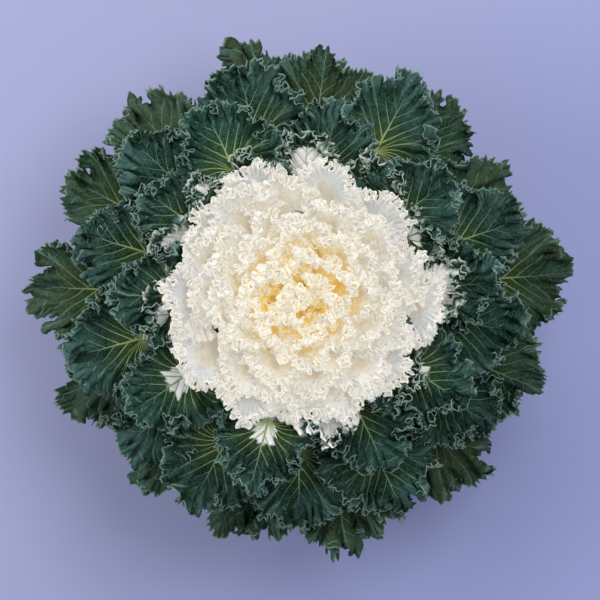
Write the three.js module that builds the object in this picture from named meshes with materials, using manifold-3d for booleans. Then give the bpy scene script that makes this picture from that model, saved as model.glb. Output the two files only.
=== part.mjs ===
// Ornamental kale (Brassica oleracea, curly type) in a plain nursery pot, for three.js.
//
// Millimetres, +Z up. The origin is the centre of the pot's flat base, which stands on Z = 0.
// The plant is a stout stem in a hole in the potting mix, three whorls of dark green fan-shaped
// leaves round it, and a dense white head of curly leaves on a cream core at its tip.
//
// Every leaf is one closed blade. It lies along a spine, a curve of radius and height from the
// plant's axis, and its width wraps round that axis. The green leaves lie on nested levels, each
// clear of the next, so each is a piece of its own. The head's leaves cross and are fused.

import * as THREE from "three";
import Module from "manifold-3d";
import { mergeVertices } from "three/addons/utils/BufferGeometryUtils.js";

const wasm = await Module();
wasm.setup();

// ---- Driving dimensions, in millimetres and degrees ----

const GAP = 0.3; // clearance between pieces that touch

const POT = {
  height: 125,
  baseRadius: 54,
  topRadius: 73,
  wall: 1.8,
  floor: 3.2,
  rimHeight: 14,
  rimOut: 3.2,
  grooveDepth: 1.5, // the ring under the floor that the drain holes open into
  grooveHalfWidth: 6,
  grooveSlope: 2,
  edgeRound: 1, // how far the foot and the rim are rounded off
  sides: 32,
  holeRadius: 5,
  holeCircle: 34,
  holes: 5,
};

const MIX = {
  depthBelowRim: 13, // the mix's surface, below the rim
  crown: 2.5, // how much higher the surface is at the stem
  relief: 1.4, // height of its lumps
  stemHoleDepth: 45,
  rings: 4,
  sides: 32,
};

const STEM = {
  radius: 14,
  footRadius: 12,
  sides: 20,
  footRound: 2,
  scars: 2, // rings left by fallen leaves, between the mix and the first whorl
  scarDepth: 0.8,
  scarHalfHeight: 1.2,
  scarMargin: 4, // bare stem above the mix, and below the first whorl
};

// Where the whorls of green leaves start, above the base, and how their levels rise.
const LEVELS = {
  firstHeight: 127,
  rootStep: 8, // height between two levels at the stem
  slope: 0.55, // rise per mm outwards on the lowest level
  slopeStep: 0.025, // and what each level adds to it
  droop: 40, // fall at 100 mm out, growing with the square of the distance
  droopStep: -1,
};

// The green leaves: where each one points, in degrees from +X towards +Y, and how far its tip
// reaches from the axis. A whorl has two levels, which its leaves take in turn.
const WHORLS = [
  {
    name: "lower_leaf",
    firstLevel: 0,
    bladeLength: 62,
    bladeWidth: 84,
    color: 0x3a5a3c,
    leaves: [
      [5, 181], [31, 161], [52, 165], [80, 162], [103, 171], [130, 173], [152, 171],
      [178, 179], [205, 169], [229, 160], [256, 163], [281, 174], [312, 167], [339, 168],
    ],
  },
  {
    name: "middle_leaf",
    firstLevel: 2,
    bladeLength: 60,
    bladeWidth: 80,
    color: 0x2f5244,
    leaves: [
      [21, 154], [62, 160], [107, 158], [137, 150], [164, 147], [195, 155],
      [221, 154], [243, 156], [270, 155], [296, 160], [326, 155], [351, 149],
    ],
  },
  {
    name: "upper_leaf",
    firstLevel: 4,
    bladeLength: 54,
    bladeWidth: 74,
    color: 0x35604f,
    leaves: [
      [4, 130], [38, 127], [79, 130], [117, 139], [146, 124],
      [180, 122], [215, 133], [256, 130], [297, 126], [327, 129],
    ],
  },
];

// How much the leaves of one kind differ from each other, as shares of their own measures.
const VARIETY = {
  size: 0.12,
  ruffle: 0.5,
};

// The fan that both kinds of leaf open into.
const FAN = {
  ringShares: [0.45, 0.8, 1], // where its rings of facets lie, from the petiole to the margin
  drawnIn: 0.75, // how far its back corners draw in towards the petiole
};

const BLADE = {
  thickness: 1.2,
  midrib: 2, // thickness of the blade on its midrib, as a multiple of the blade's own
  petioleWidth: 11,
  petioleThickness: 4.4,
  neckWidth: 9, // where the petiole opens into the fan
  fanHalfAngle: 118, // the fan's reach to each side of its midrib
  ruffle: 4.6, // height of the waves at the margin
  ruffleInner: 1.4, // and inside it
  notch: 0.07, // depth of the margin's cuts, as a share of the fan's radius
  rows: [2, 2, 6, 10, 20], // facets across the blade, from the root to the margin
  wrap: 1, // how tightly the width wraps round the plant's axis
  leastBend: 8, // least radius of that wrap
};

// The head's leaves change evenly from the heart to the rim, so most of their measures are
// pairs: [at the heart, at the rim].
const HEAD = {
  leaves: 34,
  goldenAngle: 137.508, // turn from one leaf to the next
  reach: 89, // how far the outermost tips reach from the axis
  tipHeight: [233, 217],
  tipUnevenness: [2, 3], // spread of the tips' reach and of their height
  rootRadius: [2, 23],
  rootHeight: [201, 184],
  elbowShare: [1, 0.86], // where a spine bends up, as a share of the tip's reach
  elbowOut: [4, 0], // and what is added to that
  elbowHeight: [212, 200.5],
  length: [17, 42],
  width: [15, 58],
  rootWidth: [5, 16],
  rootThickness: 3,
  thickness: 1.3,
  ruffle: [1.6, 3.4],
  ruffleInner: [0.4, 1.1],
  notch: 0.08,
  fanHalfAngle: 100,
  rows: [2, 4, 8, 14],
  wrap: 0.9,
  leastBend: 9,
};

// The cream core under the head's leaves, as [share of its radius, height].
const CORE = {
  radius: 34,
  bottom: 176,
  shape: [[0.8, 184], [1, 192], [0.8, 206], [0.25, 220], [0, 224]],
  sides: 18,
};

const COLORS = {
  pot: 0xa9583a,
  mix: 0x33241a,
  stem: 0xb9c79a,
  head: 0xf4efdf,
};

// ---- Small helpers ----

const radians = THREE.MathUtils.degToRad;
const mix = THREE.MathUtils.lerp;

// A repeatable number in 0..1 for leaf i and purpose k.
function draw(i, k) {
  const wave = Math.sin(i * 12.9898 + k * 78.233) * 43758.5453;
  return wave - Math.floor(wave);
}

// A closed indexed geometry from vertices [x, y, z] and triangles [a, b, c].
function closedGeometry(vertices, triangles) {
  const geometry = new THREE.BufferGeometry();
  geometry.setAttribute("position", new THREE.Float32BufferAttribute(vertices.flat(), 3));
  geometry.setIndex(triangles.flat());
  return geometry;
}

// The manifold-3d solid of a closed geometry.
function toSolid(geometry) {
  const bare = new THREE.BufferGeometry();
  bare.setAttribute("position", geometry.getAttribute("position"));
  if (geometry.index) bare.setIndex(geometry.index);
  const merged = mergeVertices(bare, 1e-3);
  return new wasm.Manifold(
    new wasm.Mesh({
      numProp: 3,
      vertProperties: merged.attributes.position.array,
      triVerts: new Uint32Array(merged.index.array),
    }),
  );
}

// The three.js geometry of a manifold-3d solid.
function toGeometry(solid) {
  const mesh = solid.getMesh();
  const positions = new Float32Array(mesh.numVert * 3);
  for (let i = 0; i < mesh.numVert; i++) {
    const from = i * mesh.numProp;
    positions.set(mesh.vertProperties.subarray(from, from + 3), i * 3);
  }
  const geometry = new THREE.BufferGeometry();
  geometry.setAttribute("position", new THREE.BufferAttribute(positions, 3));
  geometry.setIndex(new THREE.BufferAttribute(mesh.triVerts, 1));
  return geometry;
}

// A lathe about Z from a profile of [radius, height] points, up the outside.
function latheZ(profile, sides) {
  const points = profile.map(([r, z]) => new THREE.Vector2(r, z));
  const geometry = new THREE.LatheGeometry(points, sides);
  geometry.rotateX(Math.PI / 2);
  return geometry;
}

function namedMesh(name, geometry, color, roughness) {
  const material = new THREE.MeshStandardMaterial({ color, roughness, metalness: 0 });
  const mesh = new THREE.Mesh(geometry, material);
  mesh.name = name;
  return mesh;
}

// ---- Pot, potting mix and stem ----

const potInnerRadius = (z) => mix(POT.baseRadius, POT.topRadius, z / POT.height) - POT.wall;
const mixTop = POT.height - MIX.depthBelowRim;
const mixHeightAt = (r) => mixTop + MIX.crown * (1 - r / potInnerRadius(mixTop));

function makePot() {
  const rimStart = POT.height - POT.rimHeight;
  const outerRadius = (z) => mix(POT.baseRadius, POT.topRadius, z / POT.height);
  const profile = [
    [0, 0],
    [POT.holeCircle - POT.grooveHalfWidth - POT.grooveSlope, 0],
    [POT.holeCircle - POT.grooveHalfWidth, POT.grooveDepth],
    [POT.holeCircle + POT.grooveHalfWidth, POT.grooveDepth],
    [POT.holeCircle + POT.grooveHalfWidth + POT.grooveSlope, 0],
    [POT.baseRadius - POT.edgeRound, 0],
    [POT.baseRadius, POT.edgeRound],
    [outerRadius(rimStart), rimStart],
    [outerRadius(rimStart) + POT.rimOut, rimStart + POT.edgeRound],
    [POT.topRadius + POT.rimOut, POT.height - POT.edgeRound],
    [POT.topRadius + POT.rimOut - POT.edgeRound, POT.height],
    [potInnerRadius(POT.height), POT.height],
    [potInnerRadius(POT.floor), POT.floor],
    [0, POT.floor],
  ];
  let pot = toSolid(latheZ(profile, POT.sides));
  for (let i = 0; i < POT.holes; i++) {
    const angle = (i / POT.holes) * 2 * Math.PI;
    const drill = new THREE.CylinderGeometry(POT.holeRadius, POT.holeRadius, 4 * POT.floor, 10);
    drill.rotateX(Math.PI / 2);
    drill.translate(POT.holeCircle * Math.cos(angle), POT.holeCircle * Math.sin(angle), 0);
    pot = pot.subtract(toSolid(drill));
  }
  return namedMesh("pot", toGeometry(pot), COLORS.pot, 0.6);
}

function makeMix() {
  const bottom = POT.floor + GAP;
  const holeBottom = mixTop - MIX.stemHoleDepth;
  const holeRadius = STEM.radius + GAP;
  const edge = potInnerRadius(mixTop) - GAP;
  const profile = [
    [0, bottom],
    [potInnerRadius(bottom) - GAP, bottom],
    [edge, mixTop],
  ];
  for (let ring = 1; ring <= MIX.rings; ring++) {
    const r = mix(edge, holeRadius, ring / MIX.rings);
    profile.push([r, mixHeightAt(r)]);
  }
  profile.push([holeRadius, holeBottom], [0, holeBottom]);
  const geometry = latheZ(profile, MIX.sides);
  const position = geometry.getAttribute("position");
  for (let i = 0; i < position.count; i++) {
    const r = Math.hypot(position.getX(i), position.getY(i));
    const z = position.getZ(i);
    if (z < mixTop - GAP || r > edge - GAP || r < holeRadius + GAP) continue;
    const lump = Math.sin(position.getX(i) * 0.31) * Math.cos(position.getY(i) * 0.27);
    position.setZ(i, z + MIX.relief * lump);
  }
  return namedMesh("potting_mix", geometry, COLORS.mix, 0.95);
}

function makeStem() {
  const bottom = mixTop - MIX.stemHoleDepth + GAP;
  const top = CORE.bottom - GAP;
  const profile = [
    [0, bottom],
    [STEM.footRadius - STEM.footRound, bottom],
    [STEM.footRadius, bottom + STEM.footRound],
    [STEM.radius, mixTop - STEM.scarMargin],
  ];
  const bareFrom = mixTop + STEM.scarMargin;
  const bareTo = LEVELS.firstHeight - STEM.scarMargin;
  for (let i = 0; i < STEM.scars; i++) {
    const z = mix(bareFrom, bareTo, (i + 0.5) / STEM.scars);
    profile.push([STEM.radius, z - STEM.scarHalfHeight]);
    profile.push([STEM.radius - STEM.scarDepth, z]);
    profile.push([STEM.radius, z + STEM.scarHalfHeight]);
  }
  profile.push([STEM.radius, top], [0, top]);
  return namedMesh("stem", latheZ(profile, STEM.sides), COLORS.stem, 0.6);
}

// ---- Leaves ----

// A quadratic curve of [radius, height] through three control points, and beyond its ends.
function spineAt([p0, p1, p2], u) {
  const a = (1 - u) * (1 - u);
  const b = 2 * u * (1 - u);
  const c = u * u;
  return [a * p0[0] + b * p1[0] + c * p2[0], a * p0[1] + b * p1[1] + c * p2[1]];
}

// The unit normal of the spine, on the leaf's upper side.
function spineNormal(spine, u) {
  const step = 0.01;
  const [r0, z0] = spineAt(spine, u - step);
  const [r1, z1] = spineAt(spine, u + step);
  const length = Math.hypot(r1 - r0, z1 - z0);
  return [-(z1 - z0) / length, (r1 - r0) / length];
}

// The fan's outline: its radius at an angle from the midrib, as a share of the blade's length.
// It is about half as wide again as it is long, and draws in towards the petiole.
function fanRadius(angle, leaf) {
  const side = Math.abs(Math.sin(angle));
  const wide = leaf.width / 2 / leaf.length;
  const round = 1 / Math.hypot(Math.max(Math.cos(angle), 0), side / wide);
  const back = angle === 0 ? 0 : Math.max(0, -Math.cos(angle));
  return leaf.length * round * (1 - FAN.drawnIn * back);
}

// The point of the leaf at x along its spine and y across it, raised by lift along its normal.
function leafPoint(leaf, x, y, lift, upright = false) {
  const u = x / leaf.spineLength;
  const [r, z] = spineAt(leaf.spine, u);
  const [nr, nz] = upright ? [0, 1] : spineNormal(leaf.spine, u);
  const bend = Math.max(r, leaf.leastBend) / leaf.wrap;
  const across = bend * Math.sin(y / bend);
  const inward = bend * (1 - Math.cos(y / bend));
  const out = r - inward + nr * lift * Math.cos(y / bend);
  const side = across + nr * lift * Math.sin(y / bend);
  const cos = Math.cos(leaf.azimuth);
  const sin = Math.sin(leaf.azimuth);
  return [out * cos - side * sin, out * sin + side * cos, z + nz * lift];
}

// Triangles between two rows of points, a nearer the root. Each row is [first index, facets].
function zipRows([a, na], [b, nb]) {
  const triangles = [];
  let i = 0;
  let j = 0;
  while (i < na || j < nb) {
    if (j < nb && (i === na || (j + 1) / nb <= (i + 1) / na)) {
      triangles.push([a + i, b + j, b + j + 1]);
      j++;
    } else {
      triangles.push([a + i, b + j, a + i + 1]);
      i++;
    }
  }
  return triangles;
}

// The rows of a leaf from its root to its margin, each a list of {x, y, lift, half}, where half
// is half the blade's thickness there.
function leafRows(leaf) {
  const rows = [];
  const fanAngle = radians(leaf.fanHalfAngle);
  const neckX = leaf.spineLength - leaf.length;
  const blade = leaf.thickness / 2;
  for (const [k, facets] of leaf.rows.entries()) {
    const row = [];
    const stalkRows = leaf.rows.length - 3;
    for (let i = 0; i <= facets; i++) {
      const across = (2 * i) / facets - 1;
      if (k < stalkRows) {
        const share = stalkRows > 1 ? k / (stalkRows - 1) : 0;
        const width = mix(leaf.rootWidth, leaf.neckWidth, share);
        const middle = mix(leaf.rootThickness / 2, blade * 1.5, share);
        const half = mix(middle, middle * 0.5, Math.abs(across));
        row.push({ x: neckX * share, y: (across * width) / 2, lift: 0, half });
        continue;
      }
      const angle = across * fanAngle;
      const ring = k - stalkRows; // 0 inside, 1 before the margin, 2 at it
      const wave = i % 2 ? 1 : -1;
      const uneven = 1 + VARIETY.ruffle * (draw(leaf.seed + i, ring + 3) - 0.5);
      const lift = [0, leaf.ruffleInner, leaf.ruffle][ring] * wave * uneven;
      const cut = ring === 2 ? 1 - leaf.notch * (i % 2) * uneven : 1;
      const rho = fanRadius(angle, leaf) * FAN.ringShares[ring] * cut;
      const half = ring === 0 && across === 0 ? blade * leaf.midrib : blade;
      row.push({ x: neckX + rho * Math.cos(angle), y: rho * Math.sin(angle), lift, half });
    }
    rows.push(row);
  }
  return rows;
}

// A leaf as one closed blade: its upper face, the same face turned over below, and the edge.
function leafGeometry(leaf) {
  const rows = leafRows(leaf);
  const top = [];
  const bottom = [];
  const starts = [];
  for (const [k, row] of rows.entries()) {
    starts.push([top.length, row.length - 1]);
    const upright = k === 0;
    for (const p of row) {
      top.push(leafPoint(leaf, p.x, p.y, p.lift + p.half, upright));
      bottom.push(leafPoint(leaf, p.x, p.y, p.lift - p.half, upright));
    }
  }
  const upper = starts.slice(1).flatMap((row, k) => zipRows(starts[k], row));
  const count = top.length;
  const lower = upper.map(([a, b, c]) => [a + count, c + count, b + count]);
  const open = new Set();
  for (const [a, b, c] of upper) {
    for (const [p, q] of [[a, b], [b, c], [c, a]]) {
      if (!open.delete(`${q},${p}`)) open.add(`${p},${q}`);
    }
  }
  const edge = [...open].flatMap((side) => {
    const [p, q] = side.split(",").map(Number);
    return [[p, p + count, q + count], [p, q + count, q]];
  });
  return closedGeometry([...top, ...bottom], [...upper, ...lower, ...edge]);
}

function spineLength(spine) {
  let length = 0;
  const steps = 24;
  for (let i = 0; i < steps; i++) {
    const [r0, z0] = spineAt(spine, i / steps);
    const [r1, z1] = spineAt(spine, (i + 1) / steps);
    length += Math.hypot(r1 - r0, z1 - z0);
  }
  return length;
}

// The spine of a green leaf on a level: a parabola that leaves the stem and droops at its tip.
function greenSpine(level, reach) {
  const start = STEM.radius + GAP;
  const run = reach - start;
  const root = LEVELS.firstHeight + LEVELS.rootStep * level;
  const rise = (LEVELS.slope + LEVELS.slopeStep * level) * run;
  const droop = (LEVELS.droop + LEVELS.droopStep * level) * (run / 100) ** 2;
  return [
    [start, root],
    [start + run / 2, root + rise / 2],
    [reach, root + rise - droop],
  ];
}

function greenLeaves() {
  return WHORLS.flatMap((whorl, tier) =>
    whorl.leaves.map(([azimuth, reach], i) => {
      const level = whorl.firstLevel + (i % 2);
      const spine = greenSpine(level, reach);
      const size = 1 + VARIETY.size * (draw(i, tier + 11) - 0.5);
      const leaf = {
        azimuth: radians(azimuth),
        spine,
        spineLength: spineLength(spine),
        length: whorl.bladeLength * size,
        width: whorl.bladeWidth * size,
        seed: 100 * tier + 7 * i,
        rootWidth: BLADE.petioleWidth,
        rootThickness: BLADE.petioleThickness,
        ...BLADE,
      };
      const name = `${whorl.name}_${String(i + 1).padStart(2, "0")}`;
      return namedMesh(name, leafGeometry(leaf), whorl.color, 0.55);
    }),
  );
}

// Leaf j of the head, counted from the outside in. Tips are spread evenly over a low dome.
function headLeaf(j) {
  const inward = (j + 0.9) / HEAD.leaves; // 0 at the rim, 1 at the heart
  const [reachSpread, heightSpread] = HEAD.tipUnevenness;
  const tipRadius = HEAD.reach * Math.sqrt(1 - inward) + reachSpread * (draw(j, 1) - 0.5);
  const outer = tipRadius / HEAD.reach;
  const at = ([heart, rim]) => mix(heart, rim, outer);
  const tipHeight = mix(...HEAD.tipHeight, outer ** 2) + heightSpread * (draw(j, 2) - 0.5);
  const elbow = [tipRadius * at(HEAD.elbowShare) + at(HEAD.elbowOut), at(HEAD.elbowHeight)];
  const spine = [[at(HEAD.rootRadius), at(HEAD.rootHeight)], elbow, [tipRadius, tipHeight]];
  return {
    ...HEAD,
    azimuth: radians(j * HEAD.goldenAngle),
    spine,
    spineLength: spineLength(spine),
    length: at(HEAD.length),
    width: at(HEAD.width),
    seed: 500 + 9 * j,
    rootWidth: at(HEAD.rootWidth),
    neckWidth: at(HEAD.rootWidth),
    midrib: 1,
    ruffle: at(HEAD.ruffle),
    ruffleInner: at(HEAD.ruffleInner),
  };
}

function makeHead() {
  const profile = [
    [0, CORE.bottom],
    [STEM.radius, CORE.bottom],
    ...CORE.shape.map(([share, z]) => [share * CORE.radius, z]),
  ];
  const core = toSolid(latheZ(profile, CORE.sides));
  const leaves = Array.from({ length: HEAD.leaves }, (_, j) => toSolid(leafGeometry(headLeaf(j))));
  return namedMesh("white_head", toGeometry(wasm.Manifold.union([core, ...leaves])), COLORS.head, 0.6);
}

// ---- The plant ----

const plant = new THREE.Group();
plant.add(makePot(), makeMix(), makeStem(), ...greenLeaves(), makeHead());

export default plant;
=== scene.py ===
"""A potted ornamental kale: a white curly head in a rosette of dark green, fan-shaped leaves.

Everything is in metres in the part's own frame: +Z is up and the origin is the middle of the
pot's base. The classes below each make one sub-assembly: the pot, the potting mix, the stem,
the three whorls of green leaves, the white head, its collar of half-green leaves, and the
studio that the plant is shown in.

A leaf starts as a smooth sheet. It lies along a spine, a curve of radius and height from the
plant's axis, and its width wraps round that axis. The node tree of CurlyMargin then waves it
in folds, crimps and teeth that grow towards the margin, and a wall gives it its thickness.
"""

import logging
import math
from dataclasses import dataclass, field, fields, replace
from enum import Enum, IntEnum
from typing import NamedTuple

import bpy
import numpy as np
from mathutils import Matrix, Vector


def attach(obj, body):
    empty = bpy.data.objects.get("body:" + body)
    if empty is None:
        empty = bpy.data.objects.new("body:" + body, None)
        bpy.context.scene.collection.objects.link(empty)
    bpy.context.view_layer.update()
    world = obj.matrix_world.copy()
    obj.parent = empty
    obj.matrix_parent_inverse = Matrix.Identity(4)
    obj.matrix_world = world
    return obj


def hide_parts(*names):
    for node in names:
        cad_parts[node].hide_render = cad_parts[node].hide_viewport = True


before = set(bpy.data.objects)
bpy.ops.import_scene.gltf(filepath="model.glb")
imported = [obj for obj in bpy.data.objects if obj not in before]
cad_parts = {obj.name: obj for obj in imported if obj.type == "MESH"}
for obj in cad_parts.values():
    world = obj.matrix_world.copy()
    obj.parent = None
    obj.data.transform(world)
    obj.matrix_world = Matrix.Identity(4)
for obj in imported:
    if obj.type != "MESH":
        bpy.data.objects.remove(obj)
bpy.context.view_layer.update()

LOG = logging.getLogger("kale")
MM = 0.001
CIRCLE = 2 * math.pi
BODY = "root"
BLADE_UNIT = 100.0  # mm of the flat leaf to one unit of its blade map

Array = np.ndarray
Colour = tuple[float, float, float]
Point = tuple[float, float]  # radius and height in mm
Pair = tuple[float, float]  # a value's two ends
Range = tuple[float, float]  # where something sets in and where it is full


# ---- Repeatable numbers and small maths ----


class Purpose(IntEnum):
    """What a leaf's repeatable number is drawn for; each green whorl adds its rank."""

    HEAD_REACH = 1
    HEAD_HEIGHT = 2
    HEAD_ODD = 3
    HEAD_TURN = 4
    GREEN_SIZE = 11
    GREEN_ODD = 21
    COLLAR_LENGTH = 41
    COLLAR_WIDTH = 42
    COLLAR_HEIGHT = 43
    COLLAR_ODD = 44


DRAW_STEPS = (12.9898, 78.233)  # what one leaf and one purpose add to the sine's angle
DRAW_SPREAD = 43758.5453  # so large that only the sine's last digits count


def draw(i: int, k: int) -> float:
    """Gives a repeatable number from 0 to 1 for leaf number i and purpose number k."""
    wave = math.sin(i * DRAW_STEPS[0] + k * DRAW_STEPS[1]) * DRAW_SPREAD
    return wave - math.floor(wave)


def swing(i: int, k: int) -> float:
    """Gives a repeatable number from -0.5 to 0.5 for leaf number i and purpose number k."""
    return draw(i, k) - 0.5


def between(low: float, high: float, share: float) -> float:
    """Gives the value that lies a share of the way from low to high."""
    return low + (high - low) * share


# ---- Node graphs ----


class Wire:
    """A socket's value, which arithmetic can be written with."""

    def __init__(self, graph: "Graph", socket: bpy.types.NodeSocket) -> None:
        """Wraps an output socket of a graph."""
        self.graph = graph
        self.socket = socket

    def __add__(self, other: "Wire | float") -> "Wire":
        """Adds a value."""
        return self.graph.maths("ADD", self, other)

    def __sub__(self, other: "Wire | float") -> "Wire":
        """Takes a value away."""
        return self.graph.maths("SUBTRACT", self, other)

    def __rsub__(self, other: float) -> "Wire":
        """Takes this value away from a number."""
        return self.graph.maths("SUBTRACT", other, self)

    def __mul__(self, other: "Wire | float") -> "Wire":
        """Multiplies by a value."""
        return self.graph.maths("MULTIPLY", self, other)

    def __truediv__(self, other: "Wire | float") -> "Wire":
        """Divides by a value."""
        return self.graph.maths("DIVIDE", self, other)

    def __neg__(self) -> "Wire":
        """Turns the sign."""
        return self.graph.maths("MULTIPLY", self, -1.0)

    def __abs__(self) -> "Wire":
        """Drops the sign."""
        return self.graph.maths("ABSOLUTE", self)

    __radd__ = __add__
    __rmul__ = __mul__


class Graph:
    """A node tree, with one way to add any node to it."""

    COLOUR_SOCKETS = (6, 7)  # the Mix node's two colours
    COLOUR_OUTPUT = 2

    def __init__(self, tree: bpy.types.NodeTree) -> None:
        """Empties a node tree and starts a graph in it."""
        self.tree = tree
        tree.nodes.clear()

    def add(
        self,
        kind: str,
        settings: dict[str, object] | None = None,
        sockets: dict[int | str, object] | None = None,
    ) -> bpy.types.Node:
        """Adds a node.

        Args:
            kind: the node's type.
            settings: the node's properties, which are set first.
            sockets: a value or a Wire for each input, by name or number.

        Returns:
            The new node.
        """
        node = self.tree.nodes.new(kind)
        for name, value in (settings or {}).items():
            setattr(node, name, value)
        for key, value in (sockets or {}).items():
            if isinstance(value, Wire):
                self.tree.links.new(value.socket, node.inputs[key])
            else:
                node.inputs[key].default_value = value
        return node

    def wire(
        self,
        kind: str,
        settings: dict[str, object] | None = None,
        sockets: dict[int | str, object] | None = None,
        output: int | str = 0,
    ) -> Wire:
        """Adds a node, as add does, and gives its output of that name or number."""
        return Wire(self, self.add(kind, settings, sockets).outputs[output])

    def maths(self, operation: str, *values: Wire | float) -> Wire:
        """Adds a Math node with these inputs and gives its result."""
        return self.wire("ShaderNodeMath", {"operation": operation}, dict(enumerate(values)))

    def vector(self, operation: str, *values: object, output: int | str = 0) -> Wire:
        """Adds a Vector Math node.

        Args:
            operation: what it does.
            values: its inputs, in order; the last is the scale where it scales.
            output: the output to give.

        Returns:
            Its result.
        """
        sockets = dict(enumerate(values))
        if operation == "SCALE":
            sockets = {0: values[0], "Scale": values[1]}
        return self.wire("ShaderNodeVectorMath", {"operation": operation}, sockets, output)

    def blend(self, factor: Wire | float, first: object, second: object, mode: str = "MIX") -> Wire:
        """Mixes two colours.

        Args:
            factor: 0 gives the first and 1 the second.
            first: a colour or a Wire.
            second: a colour or a Wire.
            mode: how they mix.

        Returns:
            The mixed colour.
        """
        low, high = self.COLOUR_SOCKETS
        sockets = {0: factor, low: self._colour(first), high: self._colour(second)}
        settings = {"data_type": "RGBA", "blend_type": mode}
        return self.wire("ShaderNodeMix", settings, sockets, self.COLOUR_OUTPUT)

    @staticmethod
    def _colour(value: object) -> object:
        """Gives a colour its fourth number, and leaves a Wire alone."""
        return value if isinstance(value, Wire) else (*value, 1.0)

    def ease(self, value: Wire | float, low: float | Wire, high: float | Wire) -> Wire:
        """Gives 0 where a value is up to low, 1 from high on, and a smooth rise in between."""
        settings = {"interpolation_type": "SMOOTHSTEP"}
        return self.wire("ShaderNodeMapRange", settings, {0: value, 1: low, 2: high})

    def noise(self, place: Wire, scale: float, detail: float = 2.0, flat: bool = False) -> Wire:
        """Adds a noise texture.

        Args:
            place: a vector, or a number where flat is true.
            scale: how fine it is.
            detail: how many finer layers it has.
            flat: whether it runs along one number only.

        Returns:
            A value round 0.5.
        """
        settings = {"noise_dimensions": "1D" if flat else "3D"}
        sockets = {"W" if flat else "Vector": place, "Scale": scale, "Detail": detail}
        return self.wire("ShaderNodeTexNoise", settings, sockets)

    def split(self, place: Wire) -> tuple[Wire, Wire, Wire]:
        """Gives the three numbers of a vector."""
        x, y, z = self.add("ShaderNodeSeparateXYZ", None, {0: place}).outputs
        return Wire(self, x), Wire(self, y), Wire(self, z)


# ---- The leaf sheet ----


@dataclass(frozen=True)
class Spine:
    """How a leaf lies: a curve of radius and height from the plant's axis, in mm."""

    root: Point
    elbow: Point
    tip: Point

    def at(self, u: Array) -> tuple[Array, Array]:
        """Gives points of the curve.

        Args:
            u: how far along, 0 at the root and 1 at the tip.

        Returns:
            Their radius and their height.
        """
        shares = ((1 - u) ** 2, 2 * u * (1 - u), u**2)
        ends = (self.root, self.elbow, self.tip)
        radius = sum(share * end[0] for share, end in zip(shares, ends))
        height = sum(share * end[1] for share, end in zip(shares, ends))
        return radius, height

    def length(self, steps: int = 24) -> float:
        """Gives the curve's length in mm, measured in so many straight pieces."""
        radius, height = self.at(np.linspace(0.0, 1.0, steps + 1))
        return float(np.hypot(np.diff(radius), np.diff(height)).sum())


@dataclass
class Sheet:
    """A surface of triangles with what the node tree and the finishes read from it."""

    points: Array
    triangles: Array
    outward: Array  # how a point moves as it runs out to the margin
    share: Array  # how far out a point is, 0 at the neck and 1 at the margin
    along: Array  # distance along the margin, in metres
    blade: Array  # place on the flat leaf, in units of BLADE_UNIT
    thickness: Array  # in metres
    odd: Array  # the leaf's own number, which sets its unevenness
    vigour: Array  # how tall the leaf's waves are, 1 the usual
    tint: Array  # how white a green leaf is, or how yellow a white one

    FLOATS = ("share", "along", "odd", "vigour", "tint")

    @staticmethod
    def joined(sheets: list["Sheet"]) -> "Sheet":
        """Joins several sheets in one.

        Args:
            sheets: the sheets.

        Returns:
            One sheet with all their points and triangles.
        """
        names = [part.name for part in fields(Sheet)]
        columns = {name: [getattr(sheet, name) for sheet in sheets] for name in names}
        starts = np.cumsum([0] + [len(points) for points in columns["points"][:-1]])
        columns["triangles"] = [part + start for part, start in zip(columns["triangles"], starts)]
        return Sheet(**{name: np.concatenate(column) for name, column in columns.items()})


@dataclass(frozen=True)
class RingPlan:
    """How finely a leaf is divided: rows along its stalk, then rings from neck to margin."""

    margin: int  # facets along the margin
    rings: tuple[tuple[float, int], ...]  # share of the way out, and margin facets to one of its
    stalk_rows: int = 5
    stalk_facets: int = 8


class Row(NamedTuple):
    """One row of a leaf's points from side to side, in mm from the neck."""

    x: Array
    y: Array
    share: Array
    along: Array
    thickness: Array


@dataclass(frozen=True)
class LeafForm:
    """The shape that leaves of one kind share, in mm and degrees."""

    root_width: float = 11.0
    neck_width: float = 9.0
    root_thickness: float = 4.4
    thickness: float = 0.32
    half_angle: float = 118.0
    drawn_in: float = 0.75  # share of its length that the fan loses behind its neck
    lobes: float = 4.4  # how many lobes one radian of the fan holds, times pi
    lobe_depth: float = 0.07
    wrap: float = 1.0  # how tightly the blade bends round the plant's axis
    least_bend: float = 8.0  # smallest radius that it bends round


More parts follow.
